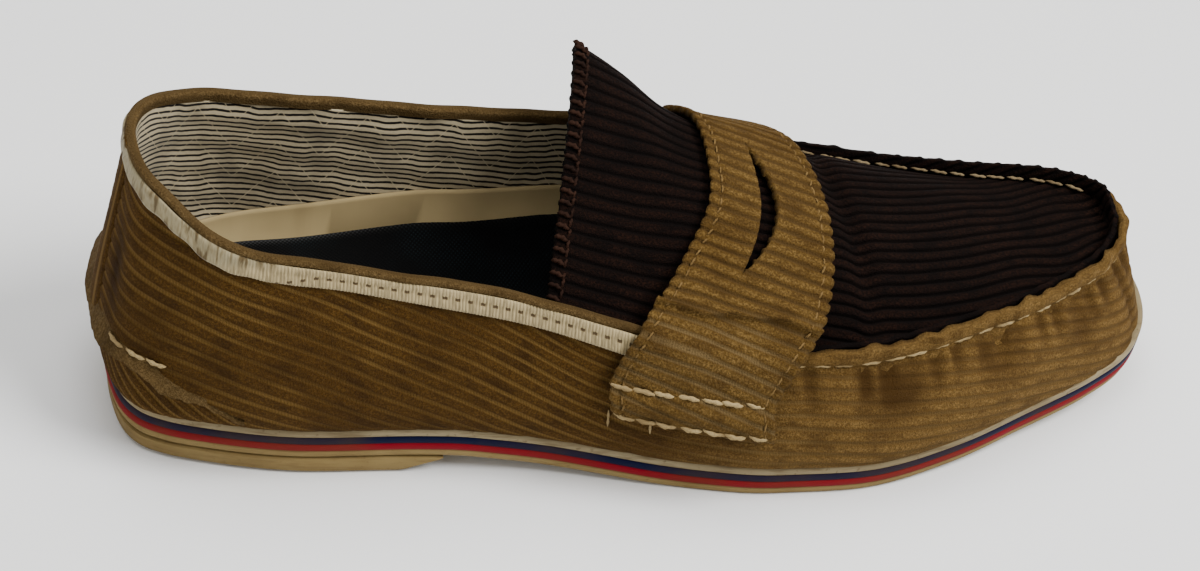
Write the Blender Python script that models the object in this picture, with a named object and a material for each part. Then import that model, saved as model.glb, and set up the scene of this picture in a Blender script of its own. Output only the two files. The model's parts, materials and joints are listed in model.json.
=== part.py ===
"""A right-foot penny loafer in wide-wale corduroy, as the pieces that a shoemaker puts together.

Sizes are in millimetres and become metres when a mesh is made. The foot runs along +X, from the back of
the heel to the toe. -Y is the outer (lateral) side and +Y the inner (medial) side.
"""

from collections import namedtuple

import bmesh
import bpy
import numpy as np

MM = 0.001

# Driving sizes
SOLE_BACK = 3.0
SOLE_LENGTH = 286.5
GAP = 0.3
WALL = 2.2
HEEL_LIFT = 5.5
OUTSOLE = 2.8
STRIPE = 2.0
RAND = 2.6
FOOTBED = 4.0
SOCK = 0.9
SOCK_GAP = 0.8
APRON = 1.8
TONGUE = 2.0
STRAP = 2.2
TAPE = 0.7

# Heights of the sole's layers above the underside of the outsole
RED_LEVEL = OUTSOLE + GAP
NAVY_LEVEL = RED_LEVEL + STRIPE + GAP
RAND_LEVEL = NAVY_LEVEL + STRIPE + GAP
UPPER_LEVEL = RAND_LEVEL + RAND + GAP

# How far pieces stand in from the sole's edge
UPPER_INSET = 0.9
FOOTBED_CLEAR = 0.6
FOOTBED_SIDE = 1.4
FOOTBED_HOLLOW = 0.8
ARCH_REACH = 17.0

# The sole's edge: a row for each section from heel to toe
SoleSection = namedtuple("SoleSection", "x lateral medial")
SOLE = (
    SoleSection(SOLE_BACK, 0, 0),
    SoleSection(5, 16.0, 15.5),
    SoleSection(9, 22.8, 22.0),
    SoleSection(15, 26.6, 26.0),
    SoleSection(25, 29.9, 29.3),
    SoleSection(45, 34.0, 33.2),
    SoleSection(80, 35.6, 32.0),
    SoleSection(110, 38.5, 29.0),
    SoleSection(140, 44.6, 32.0),
    SoleSection(170, 49.2, 40.5),
    SoleSection(195, 48.8, 47.5),
    SoleSection(220, 42.8, 51.5),
    SoleSection(245, 32.8, 50.5),
    SoleSection(265, 24.6, 45.0),
    SoleSection(279, 16.3, 35.5),
    SoleSection(286.5, 6.0, 23.0),
    SoleSection(SOLE_BACK + SOLE_LENGTH, -9.0, 9.0),
)

# Height of the outsole's underside: heel, arch, flat forefoot, toe spring
BedSection = namedtuple("BedSection", "x z")
BED = (
    BedSection(0, HEEL_LIFT),
    BedSection(84, HEEL_LIFT),
    BedSection(100, 4.2),
    BedSection(125, 1.7),
    BedSection(148, 0),
    BedSection(192, 0),
    BedSection(225, 1.6),
    BedSection(250, 3.2),
    BedSection(266, 4.9),
    BedSection(279, 6.9),
    BedSection(290, 9.4),
)

# The sides of the sole's pieces: a row for each level, with how far it stands in from the sole's edge.
# "breast" is where the heel's front face is at that height. The undercut is how much more the heel stands
# in at its back, as a share.
HeelLevel = namedtuple("HeelLevel", "inset height breast")
HEEL_LEVELS = (
    HeelLevel(2.0, 0, 72),
    HeelLevel(0.8, 1.0, 74),
    HeelLevel(0.5, HEEL_LIFT - GAP, 84),
)
HEEL_UNDERCUT = 1.2
SoleLevel = namedtuple("SoleLevel", "inset height")
OUTSOLE_LEVELS = (SoleLevel(2.0, 0), SoleLevel(0.8, 1.0), SoleLevel(0.5, OUTSOLE))
STRIPE_LEVELS = (SoleLevel(0.2, 0), SoleLevel(0.2, STRIPE))
RAND_LEVELS = (SoleLevel(0.3, 0), SoleLevel(0.3, 0.6 * RAND), SoleLevel(1.2, RAND))

# The upper: a row for each section round the foot, 0 at the heel, 1 at the toe, back to the heel at 2.
# "top" is its upper edge. The wall swells out by "low_out" at "low_up" above the sole, and by "high_out"
# at "drop" below its edge. "stand" is how high the turned-up edge is.
UpperSection = namedtuple("UpperSection", "round top_x top_y top_z low_out low_up high_out drop stand")
UPPER = (
    UpperSection(0.00, 5.2, 0.0, 79.0, 9.5, 0, 4.0, 20, 1.2),
    UpperSection(0.10, 9.0, -14.5, 78.0, 9.0, 0, 4.5, 20, 1.2),
    UpperSection(0.20, 26.5, -27.0, 69.0, 8.0, 4, 4.5, 18, 1.2),
    UpperSection(0.30, 57.0, -29.0, 62.5, 6.5, 6, 3.5, 15, 1.2),
    UpperSection(0.40, 97.0, -32.0, 55.3, 6.0, 6, 3.0, 12, 1.2),
    UpperSection(0.46, 121.0, -37.5, 50.5, 5.5, 6, 3.0, 10, 1.2),
    UpperSection(0.52, 149.0, -41.5, 42.5, 5.0, 6, 4.0, 8, 1.2),
    UpperSection(0.60, 187.0, -41.0, 38.6, 5.0, 6, 7.0, 5, 5.0),
    UpperSection(0.70, 226.0, -31.0, 40.5, 4.4, 6, 8.0, 4, 5.0),
    UpperSection(0.80, 253.0, -18.0, 39.8, 2.5, 6, 6.5, 4, 5.0),
    UpperSection(0.90, 270.0, -5.5, 39.5, 0.5, 6, 5.5, 4, 5.0),
    UpperSection(1.00, 276.5, 7.0, 41.5, -1.0, 6, 5.0, 5, 5.0),
    UpperSection(1.10, 274.5, 18.0, 43.0, 0.5, 6, 5.5, 4, 5.0),
    UpperSection(1.20, 260.5, 26.5, 42.5, 3.5, 7, 7.0, 4, 5.0),
    UpperSection(1.30, 233.0, 32.0, 41.0, 5.0, 7, 9.0, 4, 5.0),
    UpperSection(1.40, 200.0, 36.0, 42.8, 5.0, 6, 8.0, 6, 5.0),
    UpperSection(1.48, 158.0, 37.0, 52.0, 5.0, 6, 5.0, 10, 1.2),
    UpperSection(1.54, 128.0, 34.5, 58.0, 5.5, 6, 4.0, 13, 1.2),
    UpperSection(1.60, 101.0, 32.0, 61.5, 6.0, 6, 3.0, 14, 1.2),
    UpperSection(1.70, 60.0, 31.0, 66.0, 6.5, 6, 3.5, 16, 1.2),
    UpperSection(1.80, 26.0, 26.5, 72.5, 8.0, 4, 4.5, 18, 1.2),
    UpperSection(1.90, 9.0, 14.5, 78.5, 9.0, 0, 4.0, 20, 1.2),
)
STAND_LEAN = 0.12

# The raised seam at the heel: its height above the wall's foot, how it drops, bends and fades on its way
# forward, how far it runs, how wide it is above and below its line, and its relief
KICKER_HEIGHT = 13.5
KICKER_DROP = 1.0
KICKER_BEND = 3.5
KICKER_FADE = 1.6
KICKER_ROUND = 0.215
KICKER_ABOVE = 4.0
KICKER_BELOW = 2.0
KICKER_RELIEF = 1.0

# The footbed: a row for each section round the foot, with how high above the sole its side stands and
# how high its floor is along that side. The arch lifts the floor on the medial side.
FootbedSection = namedtuple("FootbedSection", "round side floor")
FOOTBED_ROWS = (
    FootbedSection(0.00, 9.0, 4.6),
    FootbedSection(0.25, 8.0, 4.5),
    FootbedSection(0.45, 7.0, 4.4),
    FootbedSection(0.62, 5.6, 4.2),
    FootbedSection(1.00, 5.6, 4.2),
    FootbedSection(1.35, 6.5, 4.4),
    FootbedSection(1.45, 18.0, 10.0),
    FootbedSection(1.55, 25.5, 16.5),
    FootbedSection(1.62, 22.5, 12.0),
    FootbedSection(1.72, 16.0, 5.6),
    FootbedSection(1.85, 11.5, 4.8),
)

# The apron's crown: the line along its middle, and how full it is between that line and its edge
CrownSection = namedtuple("CrownSection", "x y z full")
CROWN = (
    CrownSection(158, 13.5, 64.5, 3.0),
    CrownSection(170, 12.0, 61.5, 3.0),
    CrownSection(184, 10.0, 58.0, 2.9),
    CrownSection(205, 8.0, 53.6, 2.6),
    CrownSection(225, 7.5, 50.0, 2.3),
    CrownSection(243, 8.0, 46.4, 2.0),
    CrownSection(256, 8.5, 44.2, 1.8),
)
APRON_REAR = 0.535
APRON_EDGE = WALL + GAP + APRON
APRON_LIFT = 0.8
APRON_BELOW_EDGE = 0.4
SPINE_EASE = 1.8

# The tongue: a row for each section from the strap back to the free edge
TongueSection = namedtuple("TongueSection", "x crest_y crest_z medial_y medial_z full")
TONGUE_ROWS = (
    TongueSection(100, 27.0, 97.0, 33.0, 95.0, 1.1),
    TongueSection(119, 26.0, 86.5, 33.0, 84.0, 1.25),
    TongueSection(132, 23.5, 78.5, 33.5, 74.0, 1.6),
    TongueSection(144, 19.0, 70.0, 34.0, 62.5, 2.4),
    TongueSection(155, 14.5, 65.5, 33.5, 56.0, 3.0),
)
TONGUE_FRONT = 155.0
TONGUE_FREE_LATERAL = 104.0
TONGUE_FREE_MEDIAL = 120.0
TONGUE_TUCK = 1.5
TONGUE_SIDE = WALL + 1.2

# The strap: a row for each section across the foot, 0 at its lateral end and 1 at its medial end
StrapSection = namedtuple("StrapSection", "across rear front")
STRAP_ROWS = (
    StrapSection(0.00, 121.5, 163.5),
    StrapSection(0.06, 119.5, 162.3),
    StrapSection(0.12, 121.5, 165.8),
    StrapSection(0.20, 127.5, 172.8),
    StrapSection(0.28, 136.0, 177.5),
    StrapSection(0.42, 147.5, 181.5),
    StrapSection(0.52, 150.0, 182.2),
    StrapSection(0.62, 151.0, 181.2),
    StrapSection(0.72, 150.0, 179.5),
    StrapSection(0.80, 146.0, 177.0),
    StrapSection(0.92, 134.0, 171.0),
    StrapSection(1.00, 134.0, 172.0),
)
STRAP_TOP_REAR = 143.0
STRAP_END_REAR = 28.0
STRAP_END_SLOPE = -0.13
STRAP_CLEAR = 1.0
STRAP_HEART = (150, 0, 35)
STRAP_WRAP_FROM = 200
STRAP_WRAP_TO = -20
STRAP_EASE = 12
STRAP_ROLL_SHARE = 0.075
STRAP_ROLL = 1.6
SLIT_MIDDLE = 0.44
SLIT_HALF = 0.148
SLIT_WIDTH = 0.12
SLIT_LINE = 0.40
SLIT_BOW = 0.075

# The tape round the collar, measured down from the collar's edge
TAPE_TOP = 1.3
TAPE_BOTTOM = 5.4
TAPE_LATERAL = 0.455
TAPE_MEDIAL = 1.53

# How finely the faceted solids follow the curves
SOLE_ROWS = 40
UPPER_ROUND = 92
UPPER_SHARES = (0, 0.09, 0.18, 0.26, 0.31, 0.38, 0.52, 0.69, 0.87, 1)
STAND_SHARES = (0.5, 1)
APRON_HALF = 22
APRON_SHARES = (0, 0.08, 0.18, 0.32, 0.5, 0.75, 1)
TONGUE_ACROSS = 15
TONGUE_ALONG = 11
STRAP_ACROSS = 40
STRAP_HALF_ALONG = 5
TAPE_ROUND = 45
TAPE_DOWN = 3
SHARP_DEGREES = 40

# How finely the curves are measured
PROFILE_STEPS = 41
CUT_STEPS = 60
CUT_ROWS = 9
TURN_STEP = 0.004

# Colour, roughness
FINISHES = {
    "tan_corduroy": ((0.26, 0.14, 0.045), 0.95),
    "brown_corduroy": ((0.030, 0.012, 0.007), 0.95),
    "tan_rubber": ((0.40, 0.30, 0.16), 0.7),
    "cream_rubber": ((0.52, 0.43, 0.27), 0.6),
    "red_rubber": ((0.33, 0.01, 0.012), 0.5),
    "navy_rubber": ((0.012, 0.018, 0.09), 0.5),
    "cream_foam": ((0.55, 0.47, 0.33), 0.8),
    "black_cloth": ((0.012, 0.012, 0.014), 0.95),
    "cream_ribbon": ((0.66, 0.57, 0.37), 0.8),
}


def smooth(knots, values, at):
    """A smooth curve through a table's rows, flat at its turns and steady past its ends."""
    knots, values, at = np.asarray(knots, float), np.asarray(values, float), np.asarray(at, float)
    step = np.diff(knots)
    rise = np.diff(values) / step
    slope = np.zeros_like(values)
    blend = (rise[:-1] * step[1:] + rise[1:] * step[:-1]) / (step[:-1] + step[1:])
    slope[1:-1] = np.where(rise[:-1] * rise[1:] > 0, blend, 0)
    slope[0], slope[-1] = rise[0], rise[-1]
    i = np.clip(np.searchsorted(knots, at, side="right") - 1, 0, len(step) - 1)
    s = np.clip((at - knots[i]) / step[i], 0, 1)
    low = (1 + 2 * s) * (1 - s) ** 2 * values[i] + s * (1 - s) ** 2 * step[i] * slope[i]
    high = s**2 * (3 - 2 * s) * values[i + 1] + s**2 * (s - 1) * step[i] * slope[i + 1]
    return low + high


def round_foot(knots, values, q):
    """The same for a table that goes once round the foot."""
    knots = np.asarray(knots, float)
    return smooth(np.concatenate([knots - 2, knots, knots + 2]), np.tile(values, 3), np.mod(q, 2))


def column(rows, name):
    return np.array([getattr(row, name) for row in rows])


def station(x):
    """Where round the foot the lateral edge of the sole reaches x."""
    return np.arccos(1 - 2 * (np.asarray(x) - SOLE_BACK) / SOLE_LENGTH) / np.pi


def sole_edge(q):
    """The sole's edge, seen from above, at a place round the foot."""
    there = station(column(SOLE, "x"))
    knots = np.concatenate([there, 2 - there[-2:0:-1]])
    sides = np.concatenate([-column(SOLE, "lateral"), column(SOLE, "medial")[-2:0:-1]])
    x = SOLE_BACK + SOLE_LENGTH * (1 - np.cos(np.pi * np.asarray(q))) / 2
    return np.stack([x, round_foot(knots, sides, q)], -1)


def outward(line, q):
    """The level direction that points out of a line round the foot."""
    ahead = line(np.asarray(q) + TURN_STEP)[..., :2] - line(np.asarray(q) - TURN_STEP)[..., :2]
    out = np.stack([ahead[..., 1], -ahead[..., 0]], -1)
    return out / np.linalg.norm(out, axis=-1, keepdims=True)


def bed(x):
    return smooth(column(BED, "x"), column(BED, "z"), x)


def sole_line(q, inset, level):
    """A line round the sole, in from its edge and above the outsole's underside."""
    flat = sole_edge(q) - inset * outward(sole_edge, q)
    return np.concatenate([flat, (bed(flat[..., :1]) + level)], -1)


def upper_column(name, q):
    return round_foot(column(UPPER, "round"), column(UPPER, name), q)


def top_edge(q):
    """The upper's top edge: the collar's rim behind the strap, the apron's seam in front of it."""
    return np.stack([upper_column(name, q) for name in ("top_x", "top_y", "top_z")], -1)


def wall(q, share):
    """The upper's outer face, at shares of its height from the sole (0) to its top edge (1)."""
    q = np.asarray(q, float)
    foot, top = sole_line(q, UPPER_INSET, UPPER_LEVEL), top_edge(q)
    out = np.concatenate([outward(sole_edge, q), np.zeros((len(q), 1))], -1)
    up = np.array([0, 0, 1.0])
    low = foot + out * upper_column("low_out", q)[:, None] + upper_column("low_up", q)[:, None] * up
    high = top + out * upper_column("high_out", q)[:, None] - upper_column("drop", q)[:, None] * up
    t = np.linspace(0, 1, PROFILE_STEPS)[None, :, None]
    curve = ((1 - t) ** 3 * foot[:, None] + 3 * t * (1 - t) ** 2 * low[:, None]
             + 3 * t**2 * (1 - t) * high[:, None] + t**3 * top[:, None])
    run = np.linalg.norm(np.diff(curve, axis=1), axis=-1).cumsum(axis=1)
    share = np.broadcast_to(share, (len(q), np.shape(share)[-1]))
    points = np.empty(share.shape + (3,))
    for i in range(len(q)):
        along = np.concatenate([[0], run[i]]) / run[i, -1]
        for axis in range(3):
            points[i, :, axis] = np.interp(share[i], along, curve[i, :, axis])
    back = np.minimum(np.mod(q, 2), 2 - np.mod(q, 2))[:, None] / KICKER_ROUND
    seam = foot[:, None, 2] + KICKER_HEIGHT * (1 - KICKER_DROP * back**KICKER_BEND)
    lift = points[..., 2] - seam
    ridge = np.exp(-((lift / np.where(lift > 0, KICKER_ABOVE, KICKER_BELOW)) ** 2))
    ridge *= np.clip(KICKER_FADE * (1 - back**2), 0, 1)
    return points + KICKER_RELIEF * ridge[..., None] * out[:, None]


def turned_edge(q, part):
    """The upper's edge where it is turned up, from its foot (0) to its top (1)."""
    stand = upper_column("stand", q)[:, None] * part
    lean = outward(top_edge, q) * STAND_LEAN * stand
    return top_edge(q) + np.concatenate([lean, stand], -1)


def wall_length(q):
    """The upper's height, measured along its outer face."""
    line = wall(q, np.linspace(0, 1, PROFILE_STEPS))
    return np.linalg.norm(np.diff(line, axis=1), axis=-1).sum(axis=1)


def cut_across(grid, x):
    """Where the lines of a grid that run along the foot meet a plane across it, as (y, z) points."""
    lines = [grid[:, j] for j in range(grid.shape[1])]
    return np.array([[np.interp(x, line[:, 0], line[:, axis]) for axis in (1, 2)] for line in lines])


def wall_cut(x, lateral):
    """The upper's outer face where a plane across the foot cuts it, as (y, z) points."""
    q = np.linspace(0.2, 0.95, CUT_STEPS)
    q = q if lateral else 2 - q
    grid = np.concatenate([wall(q, np.linspace(0, 1, PROFILE_STEPS)), turned_edge(q, 1)[:, None]], 1)
    return cut_across(grid, x)


def edge_at(x, lateral):
    """The upper's top edge at a place along the foot."""
    q = np.linspace(0.1, 0.98, 2 * CUT_STEPS)
    edge = top_edge(q if lateral else 2 - q)
    return np.stack([np.interp(x, edge[:, 0], edge[:, axis]) for axis in (1, 2)], -1)


def tongue_sheet(x, across):
    """The tongue's upper face: x along the foot, across from its lateral (0) to its medial edge (1)."""
    names = ("crest_y", "crest_z", "medial_y", "medial_z", "full")
    row = {name: smooth(column(TONGUE_ROWS, "x"), column(TONGUE_ROWS, name), x) for name in names}
    side = edge_at(x, True) + np.array([TONGUE_SIDE, -TONGUE_TUCK])
    y = side[..., 0] + (row["medial_y"] - side[..., 0]) * across
    to_crest = np.clip((y - side[..., 0]) / (row["crest_y"] - side[..., 0]), 0, 1)
    past = np.clip((y - row["crest_y"]) / (row["medial_y"] - row["crest_y"]), 0, 1)
    rise = (row["crest_z"] - side[..., 1]) * (1 - (1 - to_crest) ** row["full"])
    z = side[..., 1] + rise - (row["crest_z"] - row["medial_z"]) * past**2
    return np.stack([np.broadcast_to(x, y.shape), y, z], -1)


def apron_base(q, depth):
    """The foot of the apron's turned-up edge, inside the upper's."""
    edge = top_edge(q)
    inward = -outward(top_edge, q) * (APRON_EDGE - APRON * depth)
    lift = np.full(inward.shape[:-1] + (1,), APRON_LIFT - APRON * depth)
    return edge + np.concatenate([inward, lift], -1)


def apron_spine(q):
    """The apron's middle line, shared by the two sides: its point for a place round the foot."""
    q = 1 - np.abs(1 - np.asarray(q, float))
    ahead = (q - APRON_REAR) / (1 - APRON_REAR)
    x = CROWN[0].x + (CROWN[-1].x - CROWN[0].x) * (1 - (1 - ahead) ** SPINE_EASE)
    return np.stack([x] + [smooth(column(CROWN, "x"), column(CROWN, name), x) for name in "yz"], -1)


def apron_sheet(q, share, depth):
    """The apron from the foot of its edge (0) to its middle line (1), depth 0 on its face, 1 under it."""
    base, spine = apron_base(q, depth)[:, None], apron_spine(q)[:, None]
    full = smooth(column(CROWN, "x"), column(CROWN, "full"), spine[..., 0])
    share = np.asarray(share, float)[None, :]
    points = base + (spine - base) * share[..., None]
    top = spine[..., 2] - APRON * depth
    points[..., 2] = base[..., 2] + (top - base[..., 2]) * (1 - (1 - share) ** full)
    return points


def instep_cut(x):
    """What the strap lies on between the two walls, as (y, z) points."""
    if x < TONGUE_FRONT:
        across = np.linspace(0, 1, 2 * CUT_ROWS)
        return tongue_sheet(np.full(len(across), max(x, STRAP_TOP_REAR)), across)[:, 1:]
    q = np.linspace(APRON_REAR, 0.9, CUT_STEPS)
    shares = np.linspace(0, 1, CUT_ROWS)
    return np.vstack([cut_across(apron_sheet(side, shares, 0), x) for side in (q, 2 - q)])


def cover(x, share):
    """The line of a strap pulled tight across the shoe, at shares of its length from the lateral end."""
    points = np.vstack([wall_cut(x, True), instep_cut(x), wall_cut(x, False)])
    middle = np.array(STRAP_HEART[1:], float)
    angle = np.radians(np.arange(STRAP_WRAP_FROM, STRAP_WRAP_TO - 1, -1.0))
    normal = np.stack([np.cos(angle), np.sin(angle)], -1)
    tangent = np.stack([-np.sin(angle), np.cos(angle)], -1)
    reach = ((points - middle) @ normal.T).max(axis=0)
    window = np.hanning(2 * STRAP_EASE + 1)
    reach = np.convolve(np.pad(reach, STRAP_EASE, mode="edge"), window / window.sum(), mode="valid")
    reach += STRAP_CLEAR
    line = middle + reach[:, None] * normal + np.gradient(reach, angle)[:, None] * tangent
    end = STRAP_END_REAR + STRAP_END_SLOPE * (x - STRAP_ROWS[0].rear)
    line = line[line[:, 1] > end]
    line = np.vstack([(line[0, 0], end), line, (line[-1, 0], end)])
    run = np.concatenate([[0], np.linalg.norm(np.diff(line, axis=0), axis=1).cumsum()])
    y, z = (np.interp(np.asarray(share) * run[-1], run, line[:, axis]) for axis in (0, 1))
    return np.stack([np.full(np.shape(y), x), y, z], -1)


def normals_of(grid, closed):
    """Unit normals of a grid of points, from its neighbours."""
    if closed:
        around = np.roll(grid, -1, axis=0) - np.roll(grid, 1, axis=0)
    else:
        around = np.gradient(grid, axis=0)
    normal = np.cross(around, np.gradient(grid, axis=1))
    return normal / np.linalg.norm(normal, axis=-1, keepdims=True)


def finish(name):
    """A plain material of its own for a piece, with the colour and roughness of its finish."""
    material = bpy.data.materials.new(name)
    material.use_nodes = True
    shader = material.node_tree.nodes["Principled BSDF"]
    colour, roughness = FINISHES[name]
    shader.inputs["Base Color"].default_value = (*colour, 1)
    shader.inputs["Roughness"].default_value = roughness
    shader.inputs["Metallic"].default_value = 0
    material.diffuse_color = (*colour, 1)
    return material


def add_piece(name, mesh, finish_name):
    """Weld a bmesh, turn its faces outwards and put it in the scene as one named object."""
    bmesh.ops.remove_doubles(mesh, verts=mesh.verts, dist=1e-6)
    bmesh.ops.dissolve_degenerate(mesh, edges=mesh.edges, dist=1e-7)
    bmesh.ops.recalc_face_normals(mesh, faces=mesh.faces)
    data = bpy.data.meshes.new(name)
    mesh.to_mesh(data)
    mesh.free()
    data.shade_smooth()
    data.set_sharp_from_angle(angle=np.radians(SHARP_DEGREES))
    data.materials.append(finish(finish_name))
    piece = bpy.data.objects.new(name, data)
    bpy.context.scene.collection.objects.link(piece)
    return piece


def add_grid(mesh, grid, closed=False):
    """Vertices and quads for a grid of points in millimetres. Returns the vertices, row by row."""
    rows = [[mesh.verts.new(point * MM) for point in line] for line in grid]
    for i in range(len(rows) - (not closed)):
        a, b = rows[i], rows[(i + 1) % len(rows)]
        for j in range(len(a) - 1):
            mesh.faces.new((a[j], b[j], b[j + 1], a[j + 1]))
    return rows


def bridge(mesh, first, second):
    """A strip of quads between two lines of vertices."""
    for j in range(len(first) - 1):
        mesh.faces.new((first[j], first[j + 1], second[j + 1], second[j]))


def plate(name, levels, finish_name):
    """A solid from lines round the sole, one above the other, each as its lateral and medial points."""
    mesh = bmesh.new()
    lines = [[[mesh.verts.new(point * MM) for point in side] for side in level] for level in levels]
    for low, high in zip(lines, lines[1:]):
        for side in (0, 1):
            bridge(mesh, low[side], high[side])
        bridge(mesh, [low[0][0], low[1][0]], [high[0][0], high[1][0]])
        bridge(mesh, [low[0][-1], low[1][-1]], [high[0][-1], high[1][-1]])
    bridge(mesh, *lines[0])
    bridge(mesh, *lines[-1])
    return add_piece(name, mesh, finish_name)


def sole_rows(inset, level, upto=1.0):
    """Both sides of a line round the sole, from the heel forward."""
    q = np.linspace(0, upto, SOLE_ROWS + 1)
    return sole_line(q, inset, level), sole_line(2 - q, inset, level)


def add_heel_lift():
    """The low heel: flat on the floor, its breast sloping forward up to the outsole."""
    levels = []
    to_back = np.linspace(1, 0, SOLE_ROWS + 1)[:, None]
    for row in HEEL_LEVELS:
        inset = row.inset * (1 + HEEL_UNDERCUT * to_back)
        lateral, medial = sole_rows(inset, 0, station(row.breast))
        lateral[:, 2] = medial[:, 2] = row.height
        levels.append((lateral, medial))
    return plate("heel_lift", levels, "tan_rubber")


def add_layer(name, rows, level, finish_name):
    """One rubber layer of the sole, bent to the sole's bed at its own level."""
    return plate(name, [sole_rows(row.inset, level + row.height) for row in rows], finish_name)


def add_sole():
    """The outsole, the two stripes and the rand, all cut to one outline and bent alike."""
    add_layer("outsole", OUTSOLE_LEVELS, 0, "tan_rubber")
    add_layer("red_stripe", STRIPE_LEVELS, RED_LEVEL, "red_rubber")
    add_layer("navy_stripe", STRIPE_LEVELS, NAVY_LEVEL, "navy_rubber")
    add_layer("rand", RAND_LEVELS, RAND_LEVEL, "cream_rubber")


def footbed_column(name, q):
    return round_foot(column(FOOTBED_ROWS, "round"), column(FOOTBED_ROWS, name), q)


def inside_wall(q, rise, inset):
    """A line round the inside of the upper, above the sole by rise and in from the wall's inner face."""
    grid = wall(q, np.linspace(0, 1, PROFILE_STEPS))
    height = sole_line(q, UPPER_INSET, UPPER_LEVEL)[:, 2] + rise
    face = [[np.interp(z, line[:, 2], line[:, axis]) for axis in (0, 1)] for z, line in zip(height, grid)]
    flat = np.array(face) - outward(sole_edge, q) * (WALL + inset)
    return np.concatenate([flat, height[:, None]], -1)


def footbed_line(inset, lift, name=None):
    """Both sides of a line round the footbed, a lift above the sole or above a column of the table."""
    q = np.linspace(0, 1, SOLE_ROWS + 1)
    sides = []
    for side in (q, 2 - q):
        rise = footbed_column(name, side) if name else np.zeros(len(side))
        sides.append(inside_wall(side, rise + lift, inset))
    return sides


def add_footbed():
    """The moulded insole, with its raised side and arch, and the cloth sock glued into it."""
    inside = FOOTBED_CLEAR + FOOTBED_SIDE
    hollow, middle = inside + FOOTBED_HOLLOW, FOOTBED_CLEAR + ARCH_REACH
    levels = [
        footbed_line(FOOTBED_CLEAR, 0),
        footbed_line(FOOTBED_CLEAR, 0, "side"),
        footbed_line(inside, 0, "side"),
        footbed_line(hollow, 0, "floor"),
        footbed_line(middle, FOOTBED),
    ]
    plate("footbed", levels, "cream_foam")
    levels = [
        footbed_line(middle, FOOTBED + SOCK_GAP),
        footbed_line(hollow + SOCK_GAP, SOCK_GAP, "floor"),
        footbed_line(hollow + SOCK_GAP, SOCK_GAP + SOCK, "floor"),
        footbed_line(middle, FOOTBED + SOCK_GAP + SOCK),
    ]
    plate("sock", levels, "black_cloth")


def add_upper():
    """The corduroy wall round the foot, one hollow piece: its outer face, its edge and its inner face."""
    q = np.linspace(0, 2, UPPER_ROUND, endpoint=False)
    outer = wall(q, UPPER_SHARES)
    outer = np.concatenate([outer, np.stack([turned_edge(q, part) for part in STAND_SHARES], 1)], 1)
    inner = outer - normals_of(outer, True) * WALL
    level_in = np.concatenate([outward(top_edge, q), np.zeros((len(q), 1))], -1) * WALL
    for j in range(-len(STAND_SHARES), 0):
        inner[:, j] = outer[:, j] - level_in
    mesh = bmesh.new()
    add_grid(mesh, np.concatenate([outer, inner[:, ::-1], outer[:, :1]], 1), closed=True)
    return add_piece("upper", mesh, "tan_corduroy")


def add_apron():
    """The brown plug: its turned-up edge stands inside the upper's, and its middle is crowned."""
    lateral = np.linspace(APRON_REAR, 1, APRON_HALF + 1)
    q = np.concatenate([lateral, 2 - lateral[-2::-1]])
    stand = (upper_column("stand", q) - APRON_BELOW_EDGE)[:, None] * np.array([0, 0, 1.0])
    sheets = []
    for depth in (0, 1):
        crown = apron_sheet(q, APRON_SHARES, depth)
        turned = crown[:, 0] + stand + np.array([0, 0, APRON * depth])
        sheets.append(np.concatenate([turned[:, None], crown], 1))
    mesh = bmesh.new()
    face, under = (add_grid(mesh, sheet) for sheet in sheets)
    bridge(mesh, [row[0] for row in face], [row[0] for row in under])
    bridge(mesh, face[0], under[0])
    bridge(mesh, face[-1], under[-1])
    return add_piece("apron", mesh, "brown_corduroy")


def thicken(mesh, face, under):
    """Join the borders of two open grids into one solid."""
    bridge(mesh, [row[0] for row in face], [row[0] for row in under])
    bridge(mesh, [row[-1] for row in face], [row[-1] for row in under])
    bridge(mesh, face[0], under[0])
    bridge(mesh, face[-1], under[-1])


def add_tongue():
    """The tongue, free at the back and tilted up at the medial side."""
    across, back = np.linspace(0, 1, TONGUE_ACROSS), np.linspace(0, 1, TONGUE_ALONG)
    free = TONGUE_FREE_LATERAL + (TONGUE_FREE_MEDIAL - TONGUE_FREE_LATERAL) * across
    x = TONGUE_FRONT + (free[:, None] - TONGUE_FRONT) * back[None, :]
    face = np.stack([tongue_sheet(x[:, j], across) for j in range(len(back))], 1)
    normal = normals_of(face, False)
    normal *= np.sign(normal[..., 2:])
    mesh = bmesh.new()
    thicken(mesh, add_grid(mesh, face), add_grid(mesh, face - normal * TONGUE))
    return add_piece("tongue", mesh, "brown_corduroy")


def strap_half(across, from_rear):
    """The under face of the strap from one of its long edges to the slit's line, a row across at a time."""
    rear, front = (smooth(column(STRAP_ROWS, "across"), column(STRAP_ROWS, name), across)
                   for name in ("rear", "front"))
    place = (across - SLIT_MIDDLE) / SLIT_HALF
    inside = np.clip(1 - place**2, 0, None)
    line = SLIT_LINE + SLIT_BOW * inside
    open_by = SLIT_WIDTH / 2 * inside
    share = np.linspace(0, 1, STRAP_HALF_ALONG)[None, :]
    if from_rear:
        share = share * (line - open_by)[:, None]
    else:
        share = 1 + (share - 1) * (1 - line - open_by)[:, None]
    x = rear[:, None] + (front - rear)[:, None] * share
    return np.array([[cover(x[i, j], across[i]) for j in range(x.shape[1])] for i in range(len(across))])


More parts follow.
